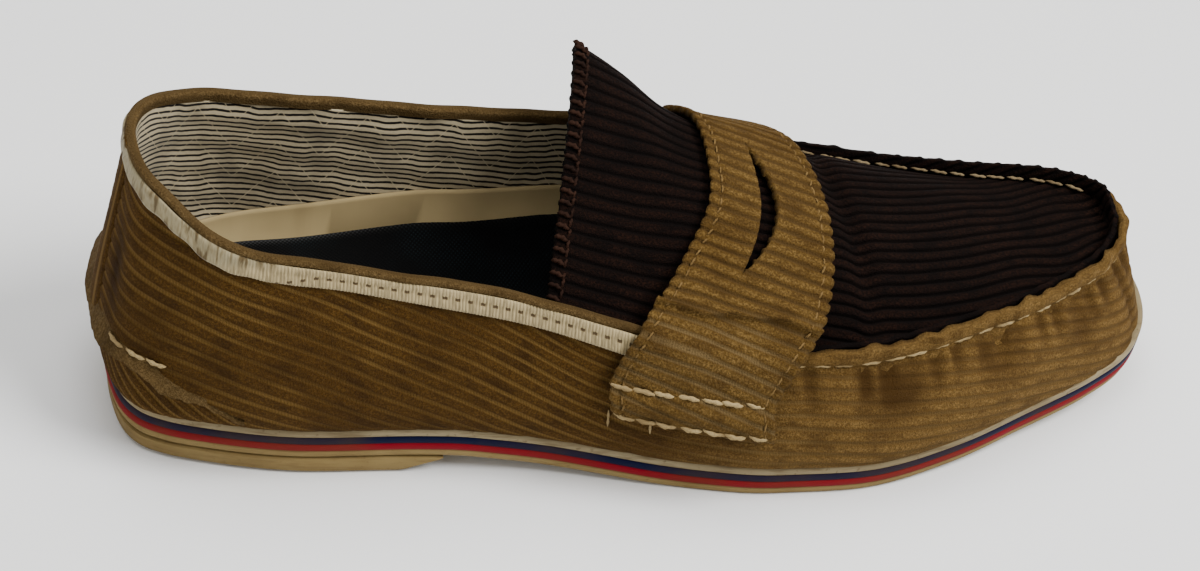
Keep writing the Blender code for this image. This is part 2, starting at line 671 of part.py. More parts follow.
def add_strap():
    """The saddle strap over the instep: a crescent slot at its middle and a rolled fold at each end."""
    across = np.linspace(0, 1, STRAP_ACROSS + 1)
    end = np.minimum(across, 1 - across) / STRAP_ROLL_SHARE
    thick = STRAP + STRAP_ROLL * np.where(end < 1, np.sin(np.pi * np.clip(end, 0, 1)), 0)
    mesh = bmesh.new()
    borders = []
    for from_rear in (True, False):
        under = strap_half(across, from_rear)
        normal = normals_of(under, False)
        normal *= np.sign(np.sum(normal * (under - np.array(STRAP_HEART)), axis=-1, keepdims=True))
        face = under + normal * thick[:, None, None]
        borders.append((add_grid(mesh, face), add_grid(mesh, under)))
    for face, under in borders:
        bridge(mesh, face[0], under[0])
        bridge(mesh, face[-1], under[-1])
    bridge(mesh, [row[0] for row in borders[0][0]], [row[0] for row in borders[0][1]])
    bridge(mesh, [row[-1] for row in borders[1][0]], [row[-1] for row in borders[1][1]])
    inside = np.flatnonzero(np.abs(across - SLIT_MIDDLE) < SLIT_HALF)
    run = range(inside[0] - 1, inside[-1] + 2)
    for (face, under), lip in zip(borders, (-1, 0)):
        bridge(mesh, [face[i][lip] for i in run], [under[i][lip] for i in run])
    for i in range(len(across)):
        if i not in inside:
            for layer in (0, 1):
                rear_point, front_point = borders[0][layer][i][-1], borders[1][layer][i][0]
                rear_point.co = front_point.co = (rear_point.co + front_point.co) / 2
    return add_piece("strap", mesh, "tan_corduroy")


def add_collar_tape():
    """The ribbon sewn round the outside of the collar, just below its rolled edge."""
    q = np.linspace(TAPE_MEDIAL - 2, TAPE_LATERAL, TAPE_ROUND)
    depths = np.linspace(TAPE_TOP, TAPE_BOTTOM, TAPE_DOWN)
    grid = wall(q, 1 - depths[None, :] / wall_length(q)[:, None])
    out = normals_of(grid, False)
    out *= np.sign(np.sum(out[..., :2] * outward(sole_edge, q)[:, None], axis=-1, keepdims=True))
    mesh = bmesh.new()
    thicken(mesh, add_grid(mesh, grid + out * (GAP + TAPE)), add_grid(mesh, grid + out * GAP))
    return add_piece("collar_tape", mesh, "cream_ribbon")


def stand_on_origin():
    """Move every mesh so that the middle of the whole shoe's underside is at the origin."""
    pieces = [piece for piece in bpy.context.scene.objects if piece.type == "MESH"]
    corners = np.array([vertex.co for piece in pieces for vertex in piece.data.vertices])
    low, high = corners.min(axis=0), corners.max(axis=0)
    shift = np.array([-(low[0] + high[0]) / 2, -(low[1] + high[1]) / 2, -low[2]])
    for piece in pieces:
        for vertex in piece.data.vertices:
            vertex.co += type(vertex.co)(shift)


for old in list(bpy.data.objects):
    bpy.data.objects.remove(old)
add_heel_lift()
add_sole()
add_footbed()
add_upper()
add_apron()
add_tongue()
add_strap()
add_collar_tape()
stand_on_origin()
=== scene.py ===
import json
from collections import namedtuple

import bmesh
import bpy
import numpy as np
from mathutils import Matrix, Vector
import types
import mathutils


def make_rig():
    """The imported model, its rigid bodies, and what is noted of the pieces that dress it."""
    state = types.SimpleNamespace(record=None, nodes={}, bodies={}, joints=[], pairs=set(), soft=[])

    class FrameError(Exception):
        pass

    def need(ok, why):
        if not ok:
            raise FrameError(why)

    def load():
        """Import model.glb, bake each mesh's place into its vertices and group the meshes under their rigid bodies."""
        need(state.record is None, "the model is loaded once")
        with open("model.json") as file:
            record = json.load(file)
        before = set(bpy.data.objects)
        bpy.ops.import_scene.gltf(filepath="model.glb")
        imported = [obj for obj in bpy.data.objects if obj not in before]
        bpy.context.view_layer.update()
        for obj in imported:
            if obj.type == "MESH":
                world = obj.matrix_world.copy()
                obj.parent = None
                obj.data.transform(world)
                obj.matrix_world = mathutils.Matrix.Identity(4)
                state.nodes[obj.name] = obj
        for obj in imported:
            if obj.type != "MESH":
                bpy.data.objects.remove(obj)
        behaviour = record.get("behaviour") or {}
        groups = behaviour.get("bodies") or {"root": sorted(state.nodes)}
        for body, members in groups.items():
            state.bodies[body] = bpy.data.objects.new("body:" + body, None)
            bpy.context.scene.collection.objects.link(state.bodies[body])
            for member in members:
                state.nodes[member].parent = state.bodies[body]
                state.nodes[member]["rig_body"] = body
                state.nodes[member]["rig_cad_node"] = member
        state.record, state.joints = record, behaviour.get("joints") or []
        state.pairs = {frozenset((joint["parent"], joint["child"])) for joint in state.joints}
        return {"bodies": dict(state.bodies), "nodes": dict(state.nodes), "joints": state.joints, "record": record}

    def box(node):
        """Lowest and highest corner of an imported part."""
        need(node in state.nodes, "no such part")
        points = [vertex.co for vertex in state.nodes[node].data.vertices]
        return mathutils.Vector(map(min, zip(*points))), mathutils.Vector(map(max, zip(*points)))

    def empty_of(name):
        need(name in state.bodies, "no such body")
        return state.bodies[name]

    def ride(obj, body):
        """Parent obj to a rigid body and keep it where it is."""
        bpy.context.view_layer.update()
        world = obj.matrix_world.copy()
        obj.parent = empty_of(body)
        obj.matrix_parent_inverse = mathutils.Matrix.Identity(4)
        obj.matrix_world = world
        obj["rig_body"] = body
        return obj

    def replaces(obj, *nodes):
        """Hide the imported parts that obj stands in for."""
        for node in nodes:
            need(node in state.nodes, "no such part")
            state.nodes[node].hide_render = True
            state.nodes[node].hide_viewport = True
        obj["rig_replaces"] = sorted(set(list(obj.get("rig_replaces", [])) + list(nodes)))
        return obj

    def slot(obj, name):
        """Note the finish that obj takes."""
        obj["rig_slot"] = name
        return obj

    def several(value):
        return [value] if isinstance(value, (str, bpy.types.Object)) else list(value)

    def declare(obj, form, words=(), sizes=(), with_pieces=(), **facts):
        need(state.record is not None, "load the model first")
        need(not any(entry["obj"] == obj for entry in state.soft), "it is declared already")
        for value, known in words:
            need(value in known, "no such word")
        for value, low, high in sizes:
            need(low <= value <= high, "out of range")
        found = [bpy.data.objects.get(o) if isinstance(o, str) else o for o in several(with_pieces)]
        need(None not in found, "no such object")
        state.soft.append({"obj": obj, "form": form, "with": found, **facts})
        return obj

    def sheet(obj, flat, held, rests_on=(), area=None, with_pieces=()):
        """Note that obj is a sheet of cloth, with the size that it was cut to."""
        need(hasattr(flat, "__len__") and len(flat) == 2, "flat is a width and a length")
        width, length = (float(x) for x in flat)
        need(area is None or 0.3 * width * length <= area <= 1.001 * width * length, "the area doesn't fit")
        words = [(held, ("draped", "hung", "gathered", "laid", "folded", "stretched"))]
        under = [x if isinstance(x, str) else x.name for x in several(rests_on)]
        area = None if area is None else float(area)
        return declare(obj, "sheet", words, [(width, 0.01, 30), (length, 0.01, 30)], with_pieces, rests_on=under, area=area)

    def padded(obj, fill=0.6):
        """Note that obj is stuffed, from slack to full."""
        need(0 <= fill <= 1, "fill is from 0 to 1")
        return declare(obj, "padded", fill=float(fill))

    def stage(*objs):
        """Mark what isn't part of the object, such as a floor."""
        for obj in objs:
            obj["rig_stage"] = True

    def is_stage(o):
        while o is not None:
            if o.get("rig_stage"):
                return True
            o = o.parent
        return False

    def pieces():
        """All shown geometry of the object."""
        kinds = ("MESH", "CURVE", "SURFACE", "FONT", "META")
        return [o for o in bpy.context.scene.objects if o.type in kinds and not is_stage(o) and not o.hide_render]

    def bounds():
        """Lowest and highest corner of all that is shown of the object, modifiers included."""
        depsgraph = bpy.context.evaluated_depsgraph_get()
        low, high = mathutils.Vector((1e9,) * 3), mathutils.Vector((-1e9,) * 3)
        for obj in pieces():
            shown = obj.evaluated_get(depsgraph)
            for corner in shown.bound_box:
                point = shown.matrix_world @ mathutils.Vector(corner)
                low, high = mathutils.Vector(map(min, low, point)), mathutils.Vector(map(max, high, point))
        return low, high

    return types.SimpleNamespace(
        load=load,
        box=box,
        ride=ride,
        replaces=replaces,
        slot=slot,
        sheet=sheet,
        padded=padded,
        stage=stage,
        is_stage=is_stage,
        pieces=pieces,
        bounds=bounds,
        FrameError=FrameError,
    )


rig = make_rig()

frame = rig.load()
cad_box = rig.bounds()

# Outsole and heel: tan rubber, moulded as one thin sheet the length of the foot, with a low lift
# cemented under the heel. The sheet lifts at the arch and springs up at the toe.
MM = 0.001
WELD = 0.002
SOLE_BACK = 3.0
SOLE_LENGTH = 286.5
GAP = 0.3
OUTSOLE = 2.8
HEEL_LIFT = 5.5


def table(columns, *rows):
    """A table of measures: a row for each place, with named columns."""
    row_of = namedtuple("row_of", columns)
    return tuple(row_of(*row) for row in rows)


SOLE = table(
    "x lateral medial",
    (SOLE_BACK, 0, 0),
    (5, 16.0, 15.5),
    (9, 22.8, 22.0),
    (15, 26.6, 26.0),
    (25, 29.9, 29.3),
    (45, 34.0, 33.2),
    (80, 35.6, 32.0),
    (110, 38.5, 29.0),
    (140, 44.6, 32.0),
    (170, 49.2, 40.5),
    (195, 48.8, 47.5),
    (220, 42.8, 51.5),
    (245, 32.8, 50.5),
    (265, 24.6, 45.0),
    (279, 16.3, 35.5),
    (286.5, 6.0, 23.0),
    (SOLE_BACK + SOLE_LENGTH, -9.0, 9.0),
)
BED = table(
    "x z",
    (0, HEEL_LIFT),
    (84, HEEL_LIFT),
    (100, 4.2),
    (125, 1.7),
    (148, 0),
    (192, 0),
    (225, 1.6),
    (250, 3.2),
    (266, 4.9),
    (279, 6.9),
    (290, 9.4),
)
SoleLevel = namedtuple("SoleLevel", "inset height")
OUTSOLE_LEVELS = (
    SoleLevel(2.0, 0),
    SoleLevel(1.2, 0.3),
    SoleLevel(0.8, 1.0),
    SoleLevel(0.5, OUTSOLE - 0.3),
    SoleLevel(0.7, OUTSOLE),
)
HEEL_LEVELS = table(
    "inset height breast",
    (2.0, 0, 72),
    (1.2, 0.4, 73),
    (0.7, 1.2, 74.5),
    (0.5, HEEL_LIFT - GAP - 0.4, 83),
    (0.8, HEEL_LIFT - GAP, 84),
)
CAD_SOLE_ROWS = 40
SOLE_COLUMNS = 180
SOLE_ACROSS = 14
TURN_STEP = 0.004
SHARP_DEGREES = 50
HEEL_UNDERCUT = 1.2
DULL = 0.08
SHEEN_SPREAD = 0.45
TAN_RUBBER = (0.222, 0.156, 0.060)
TAN_RUBBER_GRIME = (0.13, 0.080, 0.030)


def smooth(knots, values, at):
    """A smooth curve through a table's rows, flat at its turns and steady past its ends."""
    knots, values, at = np.asarray(knots, float), np.asarray(values, float), np.asarray(at, float)
    step = np.diff(knots)
    rise = np.diff(values) / step
    slope = np.zeros_like(values)
    blend = (rise[:-1] * step[1:] + rise[1:] * step[:-1]) / (step[:-1] + step[1:])
    slope[1:-1] = np.where(rise[:-1] * rise[1:] > 0, blend, 0)
    slope[0], slope[-1] = rise[0], rise[-1]
    i = np.clip(np.searchsorted(knots, at, side="right") - 1, 0, len(step) - 1)
    s = np.clip((at - knots[i]) / step[i], 0, 1)
    low = (1 + 2 * s) * (1 - s) ** 2 * values[i] + s * (1 - s) ** 2 * step[i] * slope[i]
    high = s**2 * (3 - 2 * s) * values[i + 1] + s**2 * (s - 1) * step[i] * slope[i + 1]
    return low + high


def round_foot(knots, values, q):
    """The same for a table that goes once round the foot."""
    knots = np.asarray(knots, float)
    return smooth(np.concatenate([knots - 2, knots, knots + 2]), np.tile(values, 3), np.mod(q, 2))


def column(rows, name):
    """One column of a table."""
    return np.array([getattr(row, name) for row in rows])


def table_at(rows, name, at):
    """A column of a table, as a smooth curve over its first column."""
    return smooth(column(rows, rows[0]._fields[0]), column(rows, name), at)


def station(x):
    """Where round the foot the lateral edge of the sole reaches x."""
    return np.arccos(1 - 2 * (np.asarray(x) - SOLE_BACK) / SOLE_LENGTH) / np.pi


def sole_edge(q):
    """The sole's edge, seen from above: q is 0 at the heel, 1 at the toe and 2 back at the heel."""
    there = station(column(SOLE, "x"))
    knots = np.concatenate([there, 2 - there[-2:0:-1]])
    sides = np.concatenate([-column(SOLE, "lateral"), column(SOLE, "medial")[-2:0:-1]])
    x = SOLE_BACK + SOLE_LENGTH * (1 - np.cos(np.pi * np.asarray(q))) / 2
    return np.stack([x, round_foot(knots, sides, q)], -1)


def outward(line, q):
    """The level direction that points out of a line round the foot."""
    ahead = line(np.asarray(q) + TURN_STEP)[..., :2] - line(np.asarray(q) - TURN_STEP)[..., :2]
    out = np.stack([ahead[..., 1], -ahead[..., 0]], -1)
    return out / np.linalg.norm(out, axis=-1, keepdims=True)


def bed(x):
    """How high the outsole's underside is above the ground."""
    return table_at(BED, "z", x)


def sole_line(q, inset, level):
    """A line round the sole, in from its edge and above the outsole's underside."""
    flat = sole_edge(q) - inset * outward(sole_edge, q)
    return np.concatenate([flat, bed(flat[..., :1]) + level], -1)


# The foot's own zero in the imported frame, from the outsole's box and its widest line
widest = sole_line(np.linspace(0, 2, 2 * CAD_SOLE_ROWS + 1), OUTSOLE_LEVELS[-2].inset, OUTSOLE)
FOOT_ZERO = np.array(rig.box("outsole")[0]) / MM - widest.min(axis=0)
FOOT_ZERO[2] = 0


def freeze(shape, name):
    """A smooth mesh from a finished shape."""
    data = bpy.data.meshes.new(name)
    shape.to_mesh(data)
    shape.free()
    data.shade_smooth()
    return data


def lay(name, grid, pattern=None, cut_column=None):
    """A mesh on a grid of points in millimetres, welded where its edges meet. The pattern gives each
    point its place in the cloth and, if it has a third column, how much painted shade the cloth's dents take
    there. Faces of a cut column are left out."""
    columns, rows = grid.shape[0] - 1, grid.shape[1] - 1
    shape = bmesh.new()
    bmesh.ops.create_grid(shape, x_segments=columns, y_segments=rows, size=0.5)
    flat = np.array([vert.co for vert in shape.verts]) + 0.5
    i, j = (np.rint(flat[:, axis] * cells).astype(int) for axis, cells in ((0, columns), (1, rows)))
    if pattern is not None:
        places = pattern[i, j]
        shape.verts.index_update()
        # A second map carries the painted shade of the dents.
        for map_name, picks in (("cloth", (0, 1)), ("crushed", (2, 2)))[:places.shape[1] - 1]:
            layer = shape.loops.layers.uv.new(map_name)
            values = places[:, picks]
            for face in shape.faces:
                for corner in face.loops:
                    corner[layer].uv = values[corner.vert.index]
    if cut_column is not None:
        left = (cut_column + 0.5) / columns - 0.5
        cut = [face for face in shape.faces if abs(face.calc_center_median().x - left) < 0.25 / columns]
        bmesh.ops.delete(shape, geom=cut, context="FACES_ONLY")
    for vert, place in zip(shape.verts, (grid[i, j] + FOOT_ZERO) * MM):
        vert.co = place
    bmesh.ops.remove_doubles(shape, verts=shape.verts, dist=WELD * MM)
    bmesh.ops.dissolve_degenerate(shape, edges=shape.edges, dist=WELD * MM)
    return freeze(shape, name)


def put_in_scene(name, data):
    """A new object in the scene."""
    made = bpy.data.objects.new(name, data)
    bpy.context.scene.collection.objects.link(made)
    return made


def show(name, data, material, slot, *nodes):
    """Put a finished mesh in the scene as a piece of the shoe, in place of its CAD nodes."""
    data.materials.append(material)
    piece = put_in_scene(name, data)
    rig.ride(piece, "root")
    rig.slot(piece, slot)
    if nodes:
        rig.replaces(piece, *nodes)
    return piece


def shares(steps):
    """Even shares from 0 to 1."""
    return np.linspace(0, 1, steps + 1)


def sole_block(levels, edge):
    """The points of a solid block round the sole: its bottom, its outer side, its top, its inner side."""
    u = shares(SOLE_COLUMNS)
    lateral = [edge(level, u, False) for level in levels]
    medial = [edge(level, u, True) for level in levels]
    t = shares(SOLE_ACROSS)[None, :, None]
    bottom = medial[0][:, None] * (1 - t) + lateral[0][:, None] * t
    top = lateral[-1][:, None] * (1 - t) + medial[-1][:, None] * t
    sides = np.stack(lateral[1:-1], 1), np.stack(medial[-2:0:-1], 1)
    return np.concatenate([bottom, sides[0], top, sides[1], bottom[:, :1]], 1)


def sheet_edge(level, u, medial):
    """A line of the outsole's side at one level."""
    return sole_line(2 - u if medial else u, level.inset, level.height)


def heel_edge(level, u, medial):
    """A line of the heel's side at one level, as far as its sloped breast."""
    q = u * station(level.breast)
    inset = level.inset * (1 + HEEL_UNDERCUT * (1 - u[:, None]))
    line = sole_line(2 - q if medial else q, inset, 0)
    line[:, 2] = level.height
    return line


def add_node(tree, kind, inputs=None, **settings):
    """A shader node, with each input set to a value or linked to another node's socket."""
    made = tree.nodes.new(f"ShaderNode{kind}")
    for name, value in settings.items():
        setattr(made, name, value)
    for name, value in (inputs or {}).items():
        if isinstance(value, bpy.types.NodeSocket):
            tree.links.new(value, made.inputs[name])
        else:
            made.inputs[name].default_value = value
    return made


def math(tree, operation, *values):
    """The result of a Math node on sockets or numbers."""
    return add_node(tree, "Math", dict(enumerate(values)), operation=operation).outputs[0]


def ramp(tree, value, start, end, low=0.0, high=1.0):
    """A value eased from low to high as it goes from start to end."""
    ends = {"Value": value, "From Min": start, "From Max": end, "To Min": low, "To Max": high}
    return add_node(tree, "MapRange", ends, interpolation_type="SMOOTHSTEP").outputs[0]


def mix(tree, share, first, second):
    """Two colours mixed, by a share of the second. A plain colour comes without its alpha."""
    first, second = ((*colour, 1) if isinstance(colour, tuple) else colour for colour in (first, second))
    return add_node(tree, "Mix", {0: share, 6: first, 7: second}, data_type="RGBA").outputs[2]


def noise(tree, vector, scale, detail=2.0):
    """A noise value on a vector."""
    return add_node(tree, "TexNoise", {"Vector": vector, "Scale": scale, "Detail": detail}).outputs["Fac"]


def own_place(tree):
    """A point's place on the shoe, for patterns that don't follow the cloth."""
    return add_node(tree, "TexCoord").outputs["Object"]


def away(tree, value, middle):
    """How far a value is from a middle one."""
    return math(tree, "ABSOLUTE", math(tree, "SUBTRACT", value, middle))


def effect(name, takes, gives):
    """An empty shader node group with named sockets, and its inputs and outputs."""
    tree = bpy.data.node_groups.new(name, "ShaderNodeTree")
    for socket, kind in takes:
        tree.interface.new_socket(socket, in_out="INPUT", socket_type=f"NodeSocket{kind}")
    for socket, kind in gives:
        tree.interface.new_socket(socket, in_out="OUTPUT", socket_type=f"NodeSocket{kind}")
    return tree, tree.nodes.new("NodeGroupInput").outputs, tree.nodes.new("NodeGroupOutput").inputs


def finish(name, roughness, sheen=0.0):
    """A new material, its tree and its shader, with the values that are the same all over."""
    material = bpy.data.materials.new(name)
    material.use_nodes = True
    shader = material.node_tree.nodes["Principled BSDF"]
    shader.inputs["Roughness"].default_value = roughness
    shader.inputs["Specular IOR Level"].default_value = DULL
    shader.inputs["Sheen Weight"].default_value = sheen
    shader.inputs["Sheen Roughness"].default_value = SHEEN_SPREAD
    return material, material.node_tree, shader


def cover_with(tree, shader, colour, height, strength, distance):
    """Give a shader its colour, and a fine grain as a bump of its normal."""
    tree.links.new(colour, shader.inputs["Base Color"])
    bump = {"Height": height, "Strength": strength, "Distance": distance}
    tree.links.new(add_node(tree, "Bump", bump).outputs[0], shader.inputs["Normal"])


def make_rubber_age():
    """Rubber that has been walked on: clouded colour, grime in specks and streaks, dull patches."""
    takes = (("Colour", "Color"), ("Grime", "Color"), ("Soil", "Float"))
    gives = (("Colour", "Color"), ("Roughness", "Float"), ("Height", "Float"))
    tree, given, result = effect("Rubber age", takes, gives)
    place = own_place(tree)
    cloud = noise(tree, place, 45.0, 3.0)
    specks = noise(tree, place, 700.0, 3.0)
    streaked = add_node(tree, "Mapping", {"Vector": place, "Scale": (1.0, 1.0, 9.0)}).outputs[0]
    streaks = noise(tree, streaked, 130.0, 4.0)
    soil = math(tree, "MULTIPLY", ramp(tree, streaks, 0.46, 0.72), given["Soil"])
    speck_soil = math(tree, "MULTIPLY", ramp(tree, specks, 0.60, 0.72), given["Soil"])
    clouded = mix(tree, ramp(tree, cloud, 0.35, 0.7, 0.0, 0.35), given["Colour"], given["Grime"])
    soiled = mix(tree, math(tree, "MAXIMUM", soil, speck_soil), clouded, given["Grime"])
    tree.links.new(soiled, result["Colour"])
    tree.links.new(ramp(tree, cloud, 0.3, 0.7, 0.55, 0.78), result["Roughness"])
    tree.links.new(math(tree, "ADD", specks, math(tree, "MULTIPLY", streaks, 0.6)), result["Height"])
    return tree


RUBBER_AGE = make_rubber_age()


def rubber(name, colour, grime, soil):
    """A rubber with its own colour, grime and share of soil."""
    material, tree, shader = finish(name, 0.65)
    aged = add_node(tree, "Group", node_tree=RUBBER_AGE)
    aged.inputs["Colour"].default_value = (*colour, 1)
    aged.inputs["Grime"].default_value = (*grime, 1)
    aged.inputs["Soil"].default_value = soil
    tree.links.new(aged.outputs["Roughness"], shader.inputs["Roughness"])
    cover_with(tree, shader, aged.outputs["Colour"], aged.outputs["Height"], 0.25, 0.0003)
    return material


def close_ends(data):
    """Fill the open ends of a block."""
    shape = bmesh.new()
    shape.from_mesh(data)
    bmesh.ops.holes_fill(shape, edges=shape.edges, sides=0)
    bmesh.ops.recalc_face_normals(shape, faces=shape.faces)
    shape.to_mesh(data)
    shape.free()
    data.set_sharp_from_angle(angle=np.radians(SHARP_DEGREES))
    return data


tan_rubber = rubber("tan rubber", TAN_RUBBER, TAN_RUBBER_GRIME, 0.5)
outsole = close_ends(lay("outsole_sheet", sole_block(OUTSOLE_LEVELS, sheet_edge)))
show("outsole_sheet", outsole, tan_rubber, "tan_rubber", "outsole")
heel = close_ends(lay("heel_block", sole_block(HEEL_LEVELS, heel_edge)))
show("heel_block", heel, tan_rubber, "tan_rubber", "heel_lift")

# Edge stripes and rand: thin red, navy and cream rubber sheets, cut to the outsole's outline and
# cemented on it in turn. The upper is lasted onto the cream one, whose top edge is rounded.
STRIPE = 2.0
RAND = 2.6
RED_LEVEL = OUTSOLE + GAP
NAVY_LEVEL = RED_LEVEL + STRIPE + GAP
RAND_LEVEL = NAVY_LEVEL + STRIPE + GAP
STRIPE_LEVELS = (SoleLevel(0.5, -0.15), SoleLevel(0.25, 0.2), SoleLevel(0.2, STRIPE / 2),
                 SoleLevel(0.25, STRIPE - 0.2), SoleLevel(0.5, STRIPE + 0.14))
RAND_LEVELS = (SoleLevel(0.6, -0.15), SoleLevel(0.3, 0.2), SoleLevel(0.3, 0.55 * RAND),
               SoleLevel(0.5, 0.8 * RAND), SoleLevel(0.9, 0.95 * RAND), SoleLevel(1.5, RAND))
LAYERS = (
    ("red_band", "red_stripe", "red_rubber", STRIPE_LEVELS, RED_LEVEL, (0.17, 0.0004, 0.0070), 0.03),
    ("navy_band", "navy_stripe", "navy_rubber", STRIPE_LEVELS, NAVY_LEVEL, (0.0003, 0.0018, 0.021), 0.0),
    ("cream_rand", "rand", "cream_rubber", RAND_LEVELS, RAND_LEVEL, (0.25, 0.200, 0.112), 0.55),
)
LAYER_GRIME = (0.075, 0.045, 0.018)
for name, node, slot, levels, lift, colour, soil in LAYERS:
    raised = [SoleLevel(level.inset, lift + level.height) for level in levels]
    band = close_ends(lay(name, sole_block(raised, sheet_edge)))
    show(name, band, rubber(slot.replace("_", " "), colour, LAYER_GRIME, soil), slot, node)

# Upper: tan wide-wale corduroy, backed and lasted as one wall round the foot. Its edge is turned up
# along the apron's seam, and its cloth is set back round the heel, where a loose flap covers it.
UP = np.array([0, 0, 1.0])
WALL = 2.2
RIM_WALL = 1.2
RIM_TAPER = 8.0
UPPER_LEVEL = RAND_LEVEL + RAND - 0.4
UPPER_INSET = 0.4
STAND_LEAN = 0.12
UPPER = table(
    "round top_x top_y top_z low_out low_up high_out drop stand",
    (0.00, 5.2, 0.0, 79.0, 8.4, 0, 1.8, 20, 1.2),
    (0.10, 9.0, -14.5, 78.0, 9.2, 0, 3.8, 20, 1.2),
    (0.20, 26.5, -27.0, 69.0, 8.0, 4, 4.5, 18, 1.2),
    (0.30, 57.0, -29.0, 62.5, 6.5, 6, 3.5, 15, 1.2),
    (0.40, 97.0, -32.0, 55.3, 6.0, 6, 3.0, 12, 1.2),
    (0.46, 121.0, -37.5, 50.5, 5.5, 6, 3.0, 10, 1.2),
    (0.52, 149.0, -41.5, 42.5, 5.0, 6, 4.0, 8, 1.2),
    (0.60, 187.0, -41.0, 38.6, 5.0, 6, 7.0, 5, 5.0),
    (0.70, 226.0, -31.0, 40.5, 4.4, 6, 8.0, 4, 5.0),
    (0.80, 253.0, -18.0, 39.8, 1.5, 6, 6.5, 4, 5.0),
    (0.90, 270.0, -5.5, 39.5, -1.5, 6, 5.0, 4, 5.0),
    (1.00, 276.5, 7.0, 41.5, -3.5, 6, 4.5, 5, 5.0),
    (1.10, 274.5, 18.0, 43.0, -1.5, 6, 5.0, 4, 5.0),
    (1.20, 260.5, 26.5, 42.5, 2.5, 7, 7.0, 4, 5.0),
    (1.30, 233.0, 32.0, 41.0, 5.0, 7, 9.0, 4, 5.0),
    (1.40, 200.0, 36.0, 42.8, 5.0, 6, 8.0, 6, 5.0),
    (1.48, 158.0, 37.0, 52.0, 5.0, 6, 5.0, 10, 1.2),
    (1.54, 128.0, 34.5, 58.0, 5.5, 6, 4.0, 13, 1.2),
    (1.60, 101.0, 32.0, 61.5, 6.0, 6, 3.0, 14, 1.2),
    (1.70, 60.0, 31.0, 66.0, 6.5, 6, 3.5, 16, 1.2),
    (1.80, 26.0, 26.5, 72.5, 8.0, 4, 4.5, 18, 1.2),
    (1.90, 9.0, 14.5, 78.5, 7.6, 0, 3.6, 20, 1.2),
)
# The loose flap over the heel: how high its edge is round the heel, and how far it stands off
FLAP = table(
    "round height off",
    (0.00, 15.0, 1.7),
    (0.05, 16.0, 1.9),
    (0.09, 17.5, 2.2),
    (0.115, 16.5, 2.2),
    (0.135, 13.5, 1.4),
    (0.175, 10.5, 0.8),
    (0.215, 5.0, 0.3),
)
UNDER_FLAP_WALE = 4.6
UNDER_FLAP_SLANT = 1.1
UNDER_FLAP_DEPTH = 1.0
UNDER_FLAP_EASE = 9
UNDER_FLAP_OVERLAP = 1
TOE_LEDGE = 1.6
TOE_LEDGE_AT = 0.97
TOE_LEDGE_ROUND = 0.1
# The pitch of the wales, by how far down the slanted cloth they lie
QUARTER_WALES = table(
    "level pitch",
    (0, 4.4),
    (52, 4.4),
    (85, 3.7),
    (150, 3.7),
)
WALE_SAMPLES = 9
WALE_COUNT_STEPS = 400
WALE_ROUNDING = 0.22
GROOVE_DEPTH = 0.42
GROOVE_SHARE = 0.2
WALE_SWAY = 0.025
WALE_DRIFT = table(
    "x drop",
    (0, 0),
    (25, 5.0),
    (45, 13.5),
    (70, 27.0),
    (95, 39.5),
    (115, 48.0),
    (135, 54.0),
    (155, 57.0),
    (180, 58.5),
    (205, 61.5),
    (230, 67.5),
    (255, 76.0),
    (275, 85.0),
    (295, 94.0),
)
SEAM_STITCH = 7.0
SEAM_FROM = 0.545
SEAM_TO = 1.455
SEAM_EASE = 0.02
SEAM_PUCKER = 1.5
SEAM_PUCKER_BELOW = 2.5
SEAM_PUCKER_REACH = 6.5
SEAM_PUCKER_START = 1.5
PLAIN_BELOW_SEAM = 1.6
PLAIN_OVER = 1.2
SCALLOP = 0.09
SCALLOP_LEAN = 0.35
STAND_BULGE = 0.7
FAR_EDGE_CUT = 0.55
FAR_EDGE_FROM = 0.90
FAR_EDGE_OVER = 0.19
FAN = 7.0
FAN_X = 24.0
FAN_FROM = 18.0
FAN_OVER = 42.0
QUARTER_RELIEF = 0.6
# How deep a dent is where its painted shade is full
DENT_SHADE_DEPTH = 0.8
# Folds of the worn cloth: where round the foot, how high on the wall, and the dent's depth and size
FOLDS = table(
    "round share depth width reach",
    (0.62, 0.75, 0.9, 7, 0.25),
    (0.70, 0.80, 1.1, 6, 0.22),
    (0.80, 0.72, 0.9, 5, 0.30),
    (0.90, 0.60, 1.0, 3.5, 0.60),
    (0.965, 0.62, 1.8, 2.2, 0.30),
    (1.005, 0.60, 1.6, 2.0, 0.30),
    (1.05, 0.60, 0.9, 4.0, 0.60),
    (1.12, 0.65, 1.0, 5.0, 0.50),
    (1.28, 0.75, 0.9, 6, 0.25),
    (1.40, 0.75, 0.8, 7, 0.25),
    (0.05, 0.55, 0.8, 6, 0.20),
    (1.94, 0.50, 0.8, 7, 0.25),
)
UPPER_ROUND = 560
HEEL_CLOSER = 0.3
PROFILE_STEPS = 161
PROFILE = np.linspace(0, 1, PROFILE_STEPS)
STAND_STEPS = 5
INNER_STEPS = 8
TUFT_ALONG = 0.75
# A dye: its pile, the lighter wale tops (rubbed pile with a painted highlight), the shade (dark specks, brushed
# patches, and the painted shade of grooves and dents), the woven ground, and how bare the grooves are.
Dye = namedtuple("Dye", "pile crest shade ground bare")
DYE_SOCKETS = ("Pile", "Crest", "Shade", "Ground")
Fade = namedtuple("Fade", "dye axis start end")
